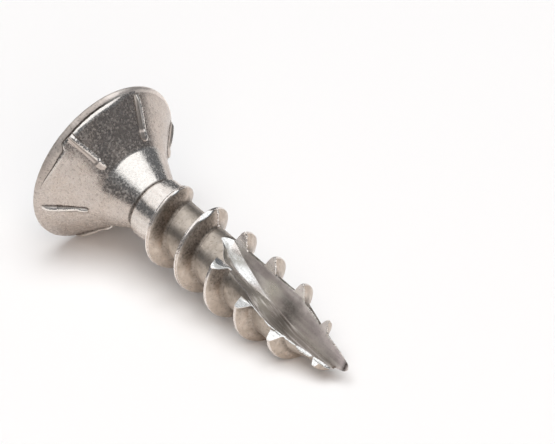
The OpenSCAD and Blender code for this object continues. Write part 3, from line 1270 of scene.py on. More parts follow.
@dataclass(frozen=True)
class Flute:
    """The milled cut in the point: a flat wall and a floor that follows the milling wheel."""

    turn: float = math.radians(-22)
    wall_past: float = 0.175
    floor_past: float = 0.33
    wheel_r: float = 20.0
    deepest_h: float = 17.35
    start_w: float = 0.6
    strip_w: float = 0.68
    strip_start: float = 0.36
    strip_steep: float = 0.54
    strip_end: float = 0.30
    strip_from_h: float = 8.6
    strip_full_h: float = 9.3
    strip_fade_h: float = 10.5
    strip_to_h: float = 13.6
    strip_raise: float = 0.17
    raise_from_h: float = 9.2
    raise_to_h: float = 13.6
    steep_from_h: float = 9.2
    steep_to_h: float = 10.6
    edge_tilt: float = 0.8
    tilt_from_h: float = 9.3
    floor_tilt: float = 0.19
    tilt_to_h: float = 13.9
    crease_drop: float = 0.04
    nose_from_h: float = 17.5
    nose_to_h: float = 18.25
    nose_drop: float = 0.123
    widen_len: float = 1.3
    tilt_len: float = 1.0
    tilt_fade: float = 1.6
    crease_fade: float = 0.8

    def floor(self, height: np.ndarray | float) -> np.ndarray:
        """How far the floor lies from the axis, towards the wheel.

        Args:
            height: Heights along the axis.

        Returns:
            One distance for each height, less than zero where the floor has passed the axis.
        """
        past = np.maximum(np.asarray(height, float) - self.nose_from_h, 0)
        nose = past / (self.nose_to_h - self.nose_from_h)
        wheel = self.wheel_r - self.floor_past - np.sqrt(self.wheel_r**2 - (height - self.deepest_h) ** 2)
        return wheel - self.nose_drop * nose**2

    def early(self, height: np.ndarray | float) -> np.ndarray:
        """How far the wheel's round edge shapes the floor, from 0 at the start to 1 and back to 0.

        Args:
            height: Heights along the axis.

        Returns:
            One share for each height.
        """
        rise = ease_between(height, self.strip_from_h, self.strip_full_h)
        fall = ease_between(height, self.strip_fade_h, self.strip_to_h)
        return rise * (1 - fall)

    def lift(self, side: np.ndarray, height: np.ndarray | float) -> np.ndarray:
        """How far the floor departs from a flat one: a hollow strip by the wall, then a slight rise.

        Args:
            side: Places across the floor, from the axis.
            height: Height along the axis.

        Returns:
            The lift at each place.
        """
        early = self.early(height)
        widened = ease_over(height, self.strip_full_h, self.widen_len)
        wide = blend(self.start_w, self.strip_w, widened) * early + TINY
        across = np.maximum(side + self.wall_past, 0)
        share = np.clip(across / wide, 0, 1)
        grown = ease_between(height, self.steep_from_h, self.steep_to_h)
        first = blend(self.strip_start, self.strip_steep, grown)
        last = blend(self.strip_start, self.strip_end, grown)
        steep = first * share - (first - last) * share**2 / 2
        eased = ease_over(height, self.tilt_from_h, self.tilt_len)
        tilt = blend(self.edge_tilt, self.floor_tilt, eased)
        tilted = smooth_step((self.tilt_to_h - height) / self.tilt_fade)
        rise = tilt * np.maximum(across - wide, 0) * tilted
        lowered = ease_between(height, self.raise_from_h, self.raise_to_h)
        creased = self.crease_drop * smooth_step((self.strip_to_h - height) / self.crease_fade)
        return self.strip_raise * (1 - lowered) - creased - steep * wide + rise

    def to_local(self, toward: np.ndarray, side: np.ndarray, height: Any) -> np.ndarray:
        """Points from the flute's own axes to the screw's.

        Args:
            toward: Distances from the axis, towards the milling wheel.
            side: Distances to the side, away from the wall.
            height: Heights along the axis.

        Returns:
            One point for each place.
        """
        cos, sin = math.cos(self.turn), math.sin(self.turn)
        toward, side, height = np.broadcast_arrays(toward, side, height)
        return np.stack([toward * cos - side * sin, toward * sin + side * cos, height], axis=-1)


@dataclass(frozen=True)
class Shank:
    """Sizes of core and point."""

    core_r: float = 1.38
    start_h: float = 5.30078
    point_h: float = 14.6
    end_h: float = 19.05
    point_half_angle: float = math.radians(15.4236)
    swell: float = 0.065
    swell_from_h: float = 16.4
    swell_len: float = 2.2
    nose_len: float = 0.32

    def radius(self, height: np.ndarray | float) -> np.ndarray:
        """Radius of the shank before the flute is cut.

        Args:
            height: Heights along the axis.

        Returns:
            One radius for each height.
        """
        height = np.asarray(height, float)
        taper = np.maximum(height - self.point_h, 0) * math.tan(self.point_half_angle)
        full = self.core_r - taper + self.swell * ease_over(height, self.swell_from_h, self.swell_len)
        near = np.clip((height - (self.end_h - self.nose_len)) / self.nose_len, 0, 1)
        return full * np.sqrt(np.maximum(1 - near**2, 0))


class Part(Enum):
    """Stretches of a shank section's outline, by the finish that they take."""

    ROUND = 0
    FLOOR = 1
    WALL = 2


@dataclass(frozen=True)
class Outline:
    """The stretches of a shank section's outline, in order round it."""

    first: np.ndarray
    second: np.ndarray
    wall: np.ndarray
    floor: np.ndarray


@dataclass(frozen=True)
class ShankSection:
    """Draws the shank's outline at a height, with the flute cut out of it."""

    shank: Shank
    flute: Flute
    split_turn: float = math.radians(214)
    arc_a: int = 150
    arc_b: int = 104
    wall: int = 26
    floor: int = 64
    trials: int = 900
    split_depth: float = 0.25
    split_gap: float = 0.004
    # Painted highlight on the flute's floor: all of its start, then a strip by the wall, broken by a darker
    # band.
    start_highlight: float = 0.75
    start_highlight_to_h: float = 9.4
    start_highlight_len: float = 0.6
    strip_share: float = 0.62
    strip_edge: float = 0.6
    band: float = 0.8
    band_h: float = 10.75
    band_lean: float = 0.9
    band_len: float = 0.38
    # Painted highlights and painted shade on the flute's wall.
    pale_to_h: float = 9.9
    pale_len: float = 1.0
    fan_h: float = 13.2
    fan_lean: float = 0.5
    fan_len: float = 0.55
    rag_share: float = 0.16
    rag_len: float = 0.4
    rag_from_h: float = 10.6
    deep_h: float = 14.3
    deep_len: float = 0.75
    dull_h: float = 11.4
    dull_len: float = 0.9
    # Painted shade on the round surface just before the wall's edge.
    shade_points: int = 30
    shade_rise: int = 14
    shade: float = 0.62
    shade_more: float = 0.25
    shade_len: float = 0.5
    # Painted highlight where the floor meets the round surface.
    edge_highlight: float = 0.8

    def stretches(self, height: float) -> Outline:
        """The outline's stretches at a height.

        Args:
            height: Height along the axis.

        Returns:
            Points of both round stretches, the wall and the floor.
        """
        flute = self.flute
        radius = float(self.shank.radius(height))
        depth = float(flute.floor(height))
        side = np.linspace(-flute.wall_past, radius, self.trials)
        toward = depth + flute.lift(side, height)
        inside = np.flatnonzero(toward**2 + side**2 < radius**2)
        if radius <= flute.wall_past or len(inside) < 2:
            low = high = 0.0
            edge_low = edge_high = 0.0
        else:
            low, high = float(side[inside[0]]), float(side[inside[-1]])
            edge_high = math.atan2(high, float(toward[inside[-1]]))
            edge_low = -math.asin(flute.wall_past / radius)
            if inside[0] > 0:
                edge_low = math.atan2(low, float(toward[inside[0]]))
        split = self.split_turn
        corner = np.array([depth + float(flute.lift(np.array(low), height)), low])
        if depth < 0:
            at_corner = math.atan2(corner[1], corner[0]) % FULL_TURN
            split = blend(split, at_corner, smooth_step(-depth / self.split_depth))
        first = polar(radius, np.linspace(edge_high, split, self.arc_a) + flute.turn, height)
        second = polar(radius, np.linspace(split, FULL_TURN + edge_low, self.arc_b) + flute.turn, height)
        if low == high:
            start = polar(radius, flute.turn, height)
            return Outline(first, second, np.tile(start, (self.wall, 1)), np.tile(start, (self.floor, 1)))
        top = radius * math.cos(edge_low)
        wall = flute.to_local(np.linspace(top, corner[0], self.wall), low, height)
        spread = blend(low, high, np.linspace(0, 1, self.floor))
        across = depth + flute.lift(spread, height)
        across[-1] = radius * math.cos(edge_high)
        spread[-1] = radius * math.sin(edge_high)
        return Outline(first, second, wall, flute.to_local(across, spread, height))

    def is_split(self, height: float) -> bool:
        """Whether the flute has parted the point into two lobes at a height.

        Args:
            height: Height along the axis.

        Returns:
            True from the height where the flute's corner comes out on the far side.
        """
        flute = self.flute
        depth = float(flute.floor(height) + flute.lift(np.array(-flute.wall_past), height))
        reach = math.hypot(depth, flute.wall_past)
        return depth < 0 and reach >= float(self.shank.radius(height)) - self.split_gap

    def loop(self, height: float) -> np.ndarray:
        """The whole outline at a height, as one loop of points."""
        part = self.stretches(height)
        return np.concatenate([part.first, part.second[1:], part.wall[1:], part.floor[1:-1]])

    def coats(self) -> np.ndarray:
        """Which finish each column of the outline takes.

        Returns:
            One number for each column.
        """
        round_count = self.arc_a + self.arc_b - 2
        counts = ((Part.ROUND, round_count), (Part.WALL, self.wall - 1), (Part.FLOOR, self.floor - 1))
        return np.concatenate([np.full(count, part.value) for part, count in counts])

    def floor_highlight(self, rows: np.ndarray) -> np.ndarray:
        """How far highlight is painted on the floor: all of its start, then the strip by the wall.

        Args:
            rows: Heights of the rows, as a column.

        Returns:
            One value for each row and column of the floor.
        """
        share = np.linspace(0, 1, self.floor - 1)[None, :]
        early = self.flute.early(rows)
        reach = self.strip_share * early + TINY
        start_highlight = self.start_highlight * (1 - ease_over(rows, self.start_highlight_to_h, self.start_highlight_len))
        band = 1 - self.band * bell(rows + self.band_lean * share, self.band_h, self.band_len)
        strip = early**0.5 * (1 - smooth_step((share / reach - self.strip_edge) / self.strip_edge))
        return np.maximum(strip * band, start_highlight)

    def wall_marks(self, rows: np.ndarray) -> tuple[np.ndarray, np.ndarray]:
        """How far highlights and shade are painted on the wall.

        Args:
            rows: Heights of the rows, as a column.

        Returns:
            Brightness and darkness, for each row and column of the wall.
        """
        down = np.linspace(0, 1, self.wall - 1)[None, :]
        # Painted highlights: pale at the wall's start, a pale fan and a ragged edge; painted shade: a deep
        # patch and a dull band.
        pale = 1 - ease_over(rows, self.pale_to_h, self.pale_len)
        fan = bell(rows + self.fan_lean * down, self.fan_h, self.fan_len) * ease_over(down, 0.1, 0.3)
        rag = smooth_step(1 - down / self.rag_share) * (0.6 + 0.4 * uneven(rows, self.rag_len, 31))
        rag = rag * ease_over(rows, self.rag_from_h, self.pale_len)
        deep = bell(rows, self.deep_h, self.deep_len) * ease_over(down, 0.2, 0.3)
        dull = bell(rows, self.dull_h, self.dull_len)
        return np.clip(0.95 * pale + fan + 0.7 * rag, 0, 1), 0.6 * deep + 0.3 * dull

    def marks(self, heights: np.ndarray) -> tuple[np.ndarray, np.ndarray]:
        """How far highlight and shade are painted on each point of the outline.

        Args:
            heights: Heights of the rows.

        Returns:
            Brightness and darkness, one value for each row and column.
        """
        rows = heights[:, None]
        first_wall = self.arc_a + self.arc_b - 2
        first_floor = first_wall + self.wall - 1
        highlight_and_wear = np.zeros((len(heights), len(self.coats())))
        shade_and_specks = np.zeros(highlight_and_wear.shape)
        highlight_and_wear[:, first_floor:] = self.floor_highlight(rows)
        highlight_and_wear[:, first_wall:first_floor], shade_and_specks[:, first_wall:first_floor] = self.wall_marks(rows)
        cut = self.flute.floor(rows) < self.shank.radius(rows)
        # Painted shade on the round surface just before the wall, and painted highlight where the floor
        # meets the round.
        edge = smooth_step(np.arange(self.shade_points)[None, :] / self.shade_rise)
        shade = self.shade + self.shade_more * uneven(rows, self.shade_len, 37)
        shade_and_specks[:, first_wall - self.shade_points : first_wall] = cut * edge * shade
        highlight_and_wear[:, [0, -1]] = self.edge_highlight * cut
        return highlight_and_wear, shade_and_specks


@dataclass(frozen=True)
class ThreadCore:
    """The round shank under the thread, with the start of the flute."""

    sections: ShankSection
    overlap: float = 0.05
    fine_from_h: float = 8.62
    fine_to_h: float = 9.9
    fine_step: float = 0.02
    plain_rows: int = 60
    cut_rows: int = 110
    sharp_deg: float = 30

    def build(self, bench: Bench) -> None:
        """Draws the core and puts it in the frame.

        Args:
            bench: Where pieces are finished.
        """
        shank = self.sections.shank
        plain_from, plain_to = shank.start_h - self.overlap, self.fine_from_h - self.fine_step
        heights = np.concatenate(
            [
                np.linspace(plain_from, plain_to, self.plain_rows),
                np.arange(self.fine_from_h, self.fine_to_h, self.fine_step),
                np.linspace(self.fine_to_h + self.fine_step, shank.point_h, self.cut_rows),
            ]
        )
        rows = np.array([self.sections.loop(h) for h in heights])
        sketch = MeshSketch()
        numbers = sketch.sheet(rows, True, self.sections.coats(), *self.sections.marks(heights))
        sketch.cap(numbers[0][::-1])
        sketch.cap(numbers[-1])
        bench.put(sketch, "thread_core", "core", [ROLLED, MILLED, SAWN], self.sharp_deg)


@dataclass(frozen=True)
class FlutedPoint:
    """The tapered point, which the flute parts into two lobes, with its burrs."""

    sections: ShankSection
    split_from_h: float = 17.0
    rows: int = 90
    lobe_rows: int = 24
    end_gap: float = 0.003
    # Painted highlight at the wall lobe's tip and a painted shade band across it, and how strong highlights
    # are on the point.
    tip_from: float = 0.62
    tip_len: float = 0.2
    gap_shade_at: float = 0.5
    gap_shade_len: float = 0.16
    sheen_and_wear: float = 0.8
    lip_lean: float = math.radians(40)
    lip_out: float = 0.35
    lip_thick: float = 0.45
    lip_ragged: float = 0.3
    lip_ragged_len: float = 0.22
    lips: tuple[tuple[float, float, float], ...] = (
        (12.9, 14.1, 0.025),
        (14.3, 15.0, 0.04),
        (15.05, 15.5, 0.05),
        (15.55, 16.25, 0.055),
        (16.3, 17.2, 0.12),
        (17.3, 18.2, 0.105),
    )
    wall_burrs: tuple[tuple[float, float, float], ...] = (
        (12.2, 13.0, 0.03),
        (13.4, 14.5, 0.04),
        (15.2, 16.2, 0.055),
        (17.0, 18.6, 0.06),
    )
    burr_len: float = 0.16
    sharp_deg: float = 30

    def lobes(self, sketch: MeshSketch, start_h: float) -> None:
        """Draws the two lobes that the flute leaves at the end.

        Args:
            sketch: Where they are drawn.
            start_h: Height at which the lobes part.
        """
        sections = self.sections
        shank, flute = sections.shank, sections.flute
        trial = np.linspace(start_h, shank.end_h, 2000)
        radius = shank.radius(trial)
        along = np.linspace(0, 1, self.lobe_rows)[:, None]
        for cut, least in ((Part.FLOOR, -flute.floor(trial)), (Part.WALL, flute.wall_past)):
            end_h = float(trial[np.flatnonzero(radius > least + self.end_gap)[-1]])
            heights = blend(start_h, end_h, np.sin(np.linspace(0, math.pi / 2, self.lobe_rows)))
            rows = [self.lobe(height, cut, height == start_h) for height in heights]
            # The floor lobe is painted with highlight all over; the wall lobe gets painted highlight at its
            # tip and a shade band.
            arc, highlight_and_wear, shade_and_specks = sections.arc_a, self.sheen_and_wear, 0.0
            if cut is Part.WALL:
                arc = sections.arc_b
                highlight_and_wear = self.sheen_and_wear * ease_over(along, self.tip_from, self.tip_len)
                shade_and_specks = 0.95 * bell(along, self.gap_shade_at, self.gap_shade_len)
            coats = np.where(np.arange(len(rows[0])) < arc - 1, Part.ROUND.value, cut.value)
            numbers = sketch.sheet(np.array(rows), True, coats, highlight_and_wear, shade_and_specks)
            sketch.cap(numbers[-1])

    def lobe(self, height: float, cut: Part, joined: bool) -> np.ndarray:
        """Outline of one lobe.

        Args:
            height: Height along the axis.
            cut: The flute's side that bounds it.
            joined: Whether this is where the lobes still meet.

        Returns:
            The outline's points, in order.
        """
        sections = self.sections
        flute = sections.flute
        if joined:
            part = sections.stretches(height)
            if cut is Part.FLOOR:
                return np.concatenate([part.first, part.floor[1:-1]])
            return np.concatenate([part.second, part.wall[1:-1]])
        radius = float(sections.shank.radius(height))
        if cut is Part.FLOOR:
            depth = float(flute.floor(height))
            half = math.acos(max(min(depth / radius, 1), -1))
            turn = np.linspace(half, FULL_TURN - half, sections.arc_a)
            chord = np.linspace(-1, 1, sections.floor) * radius * math.sin(half)
            flat = flute.to_local(np.full(sections.floor, depth), chord, height)
        else:
            dip = math.asin(min(flute.wall_past / radius, 1))
            turn = np.linspace(math.pi + dip, FULL_TURN - dip, sections.arc_b)
            chord = np.linspace(1, -1, sections.wall) * radius * math.cos(dip)
            flat = flute.to_local(chord, np.full(sections.wall, -flute.wall_past), height)
        return np.concatenate([polar(radius, turn + flute.turn, height), flat[1:-1]])

    def lip(self, sketch: MeshSketch, low: float, high: float, size: float, seed: int) -> None:
        """Draws one rolled lip: a rounded bar whose broad side leans away from the floor.

        Args:
            sketch: Where it is drawn.
            low: Height at which it starts.
            high: Height at which it ends.
            size: Half its breadth.
            seed: Picks one pattern.
        """
        shank, flute = self.sections.shank, self.sections.flute
        rows, sides = 40, 16
        height = np.linspace(low, high, rows)[:, None]
        depth = flute.floor(height)
        side = np.sqrt(np.maximum(shank.radius(height) ** 2 - depth**2, 0))
        swell = np.sin(np.linspace(0.02, math.pi - 0.02, rows))[:, None] ** 0.25
        swell = swell * (0.8 + self.lip_ragged * uneven(height, self.lip_ragged_len, seed))
        around = np.linspace(FULL_TURN, 0, sides, endpoint=False)[None, :]
        broad = np.sign(np.cos(around)) * np.abs(np.cos(around)) ** 0.5
        thick = np.sign(np.sin(around)) * np.abs(np.sin(around)) ** 0.5
        across = size * (self.lip_out + broad) * swell
        rise = self.lip_thick * size * thick * swell
        cos, sin = math.cos(self.lip_lean), math.sin(self.lip_lean)
        toward = depth + cos * rise - sin * across
        points = flute.to_local(toward, side + sin * rise + cos * across, height)
        # The lip is lightened by painted highlight.
        numbers = sketch.sheet(points, True, Part.FLOOR.value, 0.75, 0.0)
        sketch.cap(numbers[0][::-1], Part.FLOOR.value)
        sketch.cap(numbers[-1], Part.FLOOR.value)

    def burrs(self, sketch: MeshSketch) -> None:
        """Draws the rolled lips and burrs that milling left along the flute's edges, in painted highlight.

        Args:
            sketch: Where they are drawn.
        """
        shank, flute = self.sections.shank, self.sections.flute
        lip_seed, burr_seed, steps = 60, 80, 60
        for k, (low, high, size) in enumerate(self.lips):
            self.lip(sketch, low, high, size, lip_seed + k)
        for k, (low, high, size) in enumerate(self.wall_burrs):
            height = np.linspace(low, high, steps)
            radius = shank.radius(height)
            path = polar(radius, flute.turn - np.arcsin(flute.wall_past / radius), height)
            swell = np.sin(np.linspace(0, math.pi, steps)) ** 0.5
            swell = swell * (0.7 + 0.6 * uneven(height, self.burr_len, burr_seed + k))
            sketch.tube(path, size * swell, Part.WALL.value, self.sheen_and_wear)

    def build(self, bench: Bench) -> None:
        """Draws the point and puts it in the frame.

        Args:
            bench: Where pieces are finished.
        """
        shank = self.sections.shank
        trial = np.linspace(self.split_from_h, shank.end_h, 4000)
        split_h = float(next(h for h in trial if self.sections.is_split(h)))
        heights = np.linspace(shank.point_h, split_h, self.rows)
        rows = np.array([self.sections.loop(h) for h in heights])
        sketch = MeshSketch()
        numbers = sketch.sheet(rows, True, self.sections.coats(), *self.sections.marks(heights))
        sketch.cap(numbers[0][::-1])
        self.lobes(sketch, split_h)
        self.burrs(sketch)
        bench.put(sketch, "fluted_point", "point", [ROLLED, MILLED, SAWN], self.sharp_deg)


@dataclass(frozen=True)
class CoarseThread:
    """The coarse rolled thread, cut by the flute into one ridge for each turn."""

    sections: ShankSection
    start_h: float = 4.828
    start_turn: float = math.radians(-160)
    pitch: float = 2.2
    depth: float = 0.77
    crest_w: float = 0.13
    crest_round: float = 0.02
    crest_dip: float = 0.012
    head_flank: float = math.radians(22)
    head_power: float = 0.72
    head_foot: float = 0.06
    tip_w: float = 0.42
    tip_power: float = 0.72
    tip_foot: float = 0.14
    run_in_turns: float = 0.53
    end_h: float = 18.1
    run_out_len: float = 6.2
    run_out_power: float = 0.4
    sunk: float = 0.06
    inset: float = 0.003
    facet_lean: float = math.radians(15)
    crest_lean: float = math.radians(22)
    crest_reach: float = 2.1
    crest_slope: float = 0.4
    shaved_r: float = 1.95
    ear_lean: float = 0.16
    start_lean: float = 0.5
    # Turns over which shade is painted on the flanks that face the point.
    dark_from: float = math.radians(-30)
    dark_to: float = math.radians(94)
    seam_r: float = 0.042
    seam_turns: tuple[tuple[float, float], ...] = ((-0.35, 2.6), (6.75, 8.6))
    least_ridge: float = 0.02
    foot_gap: float = 0.03
    facing_turn: float = math.radians(86)
    facing_back: float = 0.3
    cut_gap: float = 0.004
    crest_blend: float = 0.5
    bead_least: float = 0.035
    bead_more: float = 0.085
    bead_len: float = 0.2
    beaded: int = 5
    turn_rows: int = 220
    least_rows: int = 40
    sharp_deg: float = 34

    def centre_h(self, turn: np.ndarray | float) -> np.ndarray:
        """Height of the ridge's middle at a turn."""
        return self.start_h + self.pitch * (turn - self.start_turn) / FULL_TURN

    def ridge(self, turn: np.ndarray | float) -> np.ndarray:
        """Height of the ridge over the core at a turn.

        Args:
            turn: Turns from the thread's start, in radians.

        Returns:
            One height for each turn.
        """
        turns = (np.asarray(turn, float) - self.start_turn) / FULL_TURN
        grow = np.sin(np.pi / 2 * np.clip(turns / self.run_in_turns, 0, 1)) ** 2
        left = np.clip((self.end_h - self.centre_h(turn)) / self.run_out_len, 0, 1)
        return np.maximum(self.depth * grow * left**self.run_out_power, self.least_ridge)

    @staticmethod
    def profile() -> tuple[np.ndarray, np.ndarray]:
        """Shares of the ridge's height, from foot to crest, and of half the crest's width."""
        rise = np.concatenate([np.linspace(0, 0.35, 8), np.linspace(0.43, 0.97, 9)])
        return rise, np.array([1.0, 0.75, 0.4, 0.0])

    def half(self, top: np.ndarray, to_tip: bool) -> tuple[np.ndarray, np.ndarray]:
        """One side of the ridge's outline, from its sunk foot to the middle of its crest.

        Args:
            top: Height of the ridge, one for each row.
            to_tip: Whether this is the side that faces the point.

        Returns:
            Distance from the ridge's middle and height over the core, for each row and column.
        """
        rise, land = self.profile()
        ones = np.ones_like(top)
        foot_r = np.minimum(self.tip_foot if to_tip else self.head_foot, 0.9 * top)
        up = rise[None, :] * top
        near = np.clip(foot_r - up, 0, foot_r)
        foot = foot_r - np.sqrt(np.maximum(foot_r**2 - near**2, 0))
        drop = top - up
        spread = top * math.tan(self.head_flank) * (drop / top) ** self.head_power
        if to_tip:
            spread = self.tip_w * (top / self.depth) * (drop / top) ** self.tip_power
        half = self.crest_w / 2
        flank_w = half + spread + foot
        land_w = half * land[None, :] * ones
        land_up = top - self.crest_dip * (1 - land[None, :] ** 2) * np.minimum(top / 0.3, 1)
        edge_w = half + 0.3 * self.crest_round * ones
        wide = np.concatenate([flank_w[:, :1] + self.foot_gap, flank_w, edge_w, land_w], axis=1)
        high = np.concatenate([-self.sunk * ones, up, top - 0.5 * self.crest_round * ones, land_up], axis=1)
        return wide, high

    def outline(self, turn: np.ndarray) -> tuple[np.ndarray, np.ndarray, np.ndarray]:
        """Outline of the ridge at each place.

        Args:
            turn: Turns, one for each row and column of the ridge.

        Returns:
            Radius, height along the axis and share of the ridge's height for each point.
        """
        top = self.ridge(turn[:, 0])[:, None]
        head_w, head_up = self.half(top, False)
        tip_w, tip_up = self.half(top, True)
        across = np.concatenate([-head_w, tip_w[:, -2::-1]], axis=1)
        lifted = np.concatenate([head_up, tip_up[:, -2::-1]], axis=1)
        height = self.centre_h(turn) + across
        radius = self.sections.shank.radius(height) + lifted
        return radius, height, lifted / top

    def columns(self) -> int:
        """How many points the ridge's outline has."""
        rise, land = self.profile()
        return 2 * (len(rise) + len(land) + 2) - 1

    def wall_turn(self, crossing: float, clamp: bool) -> np.ndarray:
        """Turn at which each column of the ridge meets the flute's wall.

        Args:
            crossing: Turn at which the ridge passes the flute's middle.
            clamp: Whether the ridge there is already cut down to the flute's floor.

        Returns:
            One turn for each column.
        """
        flute = self.sections.flute
        least_r, passes = 0.5, 4
        turn = np.full((1, self.columns()), crossing)
        for _ in range(passes):
            radius, height, _ = self.outline(turn)
            if clamp:
                radius = np.minimum(radius, np.maximum(flute.floor(height), least_r))
            lean = 0.0 if clamp else self.ear_lean * np.maximum(radius - self.sections.shank.core_r, 0)
            turn = crossing - np.arcsin((flute.wall_past + self.inset - lean) / radius)
        return turn[0]

    def cut(
        self, radius: np.ndarray, turn: np.ndarray, height: np.ndarray
    ) -> tuple[np.ndarray, np.ndarray]:
        """Cuts the ridge's start down to a facet that leans away from the flute's floor.

        Args:
            radius: Radius of each point before the cut.
            turn: Turn of each point.
            height: Height of each point.

        Returns:
            Radius after the cut, and whether the cut reached the point.
        """
        flute, core_r = self.sections.flute, self.sections.shank.core_r
        least_cos, uncut_r = 0.05, 99.0
        off = signed(turn - flute.turn)
        begins = (np.arange(len(turn)) < len(turn) // 2)[:, None]
        ahead = (np.abs(off - self.facet_lean) < self.facing_turn) & (off > -self.facing_back)
        depth = flute.floor(height) - self.cut_gap
        edge = np.arccos(np.clip(depth / core_r, -1, 1))
        crest = smooth_step((depth - core_r) / self.crest_blend)
        lean = blend(self.facet_lean, self.crest_lean, crest)
        shaved = self.crest_reach - self.crest_slope * (height - self.centre_h(turn))
        low = np.where(depth < core_r, core_r * np.cos(edge - lean), depth * np.cos(lean))
        reach = blend(low, shaved, crest)
        limit = np.where(ahead & begins, reach / np.maximum(np.cos(off - lean), least_cos), uncut_r)
        return np.minimum(radius, limit), limit < radius

    def pieces(self) -> list[tuple[np.ndarray, np.ndarray]]:
        """Start and end turns of each ridge that the flute leaves.

        Returns:
            For each ridge, the turns of its columns at its start and at its end.
        """
        flute, shank = self.sections.flute, self.sections.shank
        floor_gap = 0.05
        ones = np.ones(self.columns())
        end_turn = self.start_turn + FULL_TURN * (self.end_h - self.start_h) / self.pitch
        made = []
        start = self.start_turn * ones
        crossing = flute.turn
        while crossing < end_turn:
            crest = float(shank.radius(self.centre_h(crossing)) + self.ridge(crossing))
            depth = float(flute.floor(self.centre_h(crossing)))
            if depth < crest:
                made.append((start, self.wall_turn(crossing, False)))
                low = float(shank.radius(self.centre_h(crossing))) - self.sunk
                if depth > low + floor_gap:
                    start = self.wall_turn(crossing, True)
                else:
                    first = (crossing + self.emerge(crossing)) * ones
                    radius, height, _ = self.outline(first[None, :])
                    rise = np.maximum(1 - shank.radius(height[0]) / radius[0], 0)
                    start = first + self.start_lean * rise
            crossing += FULL_TURN
        made.append((start, end_turn * ones))
        return made

    def emerge(self, crossing: float) -> float:
        """How far past the flute's middle a ridge comes out of the floor again.

        Args:
            crossing: Turn at which the ridge passes the flute's middle.

        Returns:
            The turn from there, a quarter turn where it does not come out.
        """
        flute, shank = self.sections.flute, self.sections.shank
        steps, ahead, sunk_share = 721, 0.4, 0.8
        for off in np.linspace(0, math.pi, steps):
            height = self.centre_h(crossing + off)
            low = float(shank.radius(height)) - sunk_share * self.sunk
            if float(flute.floor(height + ahead)) >= low * math.cos(off):
                return float(off)
        return math.pi / 2

    def burr(self, sketch: MeshSketch, points: np.ndarray, seed: int) -> None:
        """Draws the row of beads along the point side of a ridge's cut end, in painted highlight.

        Args:
            sketch: Where it is drawn.
            points: Points of the cut end, from the head side to the point side.
            seed: Picks one pattern.
        """
        count, steps = len(points), 60
        flank = points[count // 2 + 1 : count - 1]
        share = np.linspace(0, len(flank) - 1.001, steps)
        low = share.astype(int)
        path = blend(flank[low], flank[low + 1], (share - low)[:, None])
        run = np.linspace(0, np.linalg.norm(flank[-1] - flank[0]), steps)
        radius = self.bead_least + self.bead_more * np.clip(uneven(run, self.bead_len, seed), 0, 1)
        sketch.tube(path, radius, Part.WALL.value, 1.0)

    def seam(self, sketch: MeshSketch, low: float, high: float, seed: int) -> None:
        """Draws the fine fold that rolling leaves along the crest's head side, in painted highlight.

        Args:
            sketch: Where it is drawn.
            low: Turn at which it starts.
            high: Turn at which it ends.
            seed: Picks one pattern.
        """
        steps, lift_share = 160, 0.4
        turn = np.linspace(low, high, steps)
        height = self.centre_h(turn) - self.crest_w / 2
        crest_r = self.sections.shank.radius(height) + self.ridge(turn)
        path = polar(crest_r + lift_share * self.seam_r, turn, height)
        swell = np.sin(np.linspace(0, math.pi, steps)) ** 0.4
        swell = swell * (0.85 + 0.25 * uneven(turn, 0.3, seed))
        sketch.tube(path, self.seam_r * swell, Part.ROUND.value, 1.0)

    def marks(self, turn: np.ndarray, part: np.ndarray) -> tuple[np.ndarray, np.ndarray]:
        """How far highlight is painted on the ridge's crest, and shade on its foot and its point side.

        Args:
            turn: Turn of each point.
            part: Share of the ridge's height at each point.

        Returns:
            Brightness and darkness, one value for each point.
        """
        # Painted highlight along the crest; painted shade in the foot and on the point-side flank within a
        # span of turns.
        highlight_and_wear = np.clip((part - 0.97) * 60, 0, 1) * 0.7
        shown = (turn - self.dark_from) % FULL_TURN / (self.dark_to - self.dark_from)
        to_tip = np.arange(self.columns())[None, :] > self.columns() // 2
        window = smooth_step(5 * shown) * smooth_step(4 * (1 - shown))
        dark = to_tip * window * (1 - ease_over(part, 0.8, 0.2))
        foot = 1 - ease_over(part, 0.02, 0.4)
        return highlight_and_wear, np.maximum(0.55 * foot, 0.7 * dark)

    def build(self, bench: Bench) -> None:
        """Draws the thread and puts it in the frame.

        Args:
            bench: Where pieces are finished.
        """
        seam_seed, bead_seed = 110, 90
        sketch = MeshSketch()
        for k, (low, high) in enumerate(self.seam_turns):
            self.seam(sketch, low, high, seam_seed + k)
        for k, (start, end) in enumerate(self.pieces()):
            span = float((end - start).mean())
            count = max(self.least_rows, int(span / FULL_TURN * self.turn_rows))
            share = np.linspace(0, 1, count)
            turn = blend(start[None, :], end[None, :], share[:, None])
            radius, height, part = self.outline(turn)
            radius, was_cut = self.cut(radius, turn, height)
            coat = np.where(was_cut[:-1] & was_cut[1:], Part.FLOOR.value, Part.ROUND.value)
            points = polar(radius, turn, height)
            highlight_and_wear, shade_and_specks = self.marks(turn, part)
            # Painted highlight on the cut facets and both cut ends, with no painted shade there.
            highlight_and_wear = np.where(was_cut, np.where(radius > self.shaved_r, 0.95, 0.5), highlight_and_wear)
            shade_and_specks = np.where(was_cut, 0.0, shade_and_specks)
            highlight_and_wear[[0, -1]] = [[0.9], [0.5]]
            shade_and_specks[[0, -1]] = 0.0
            numbers = sketch.sheet(points, True, coat, highlight_and_wear, shade_and_specks)
            sketch.cap(numbers[0][::-1], Part.FLOOR.value)
            sketch.cap(numbers[-1], Part.WALL.value)
            if k < self.beaded:
                self.burr(sketch, points[-1], bead_seed + k)
        bench.put(sketch, "coarse_thread", "thread", [RIDGED, MILLED, SAWN], self.sharp_deg)


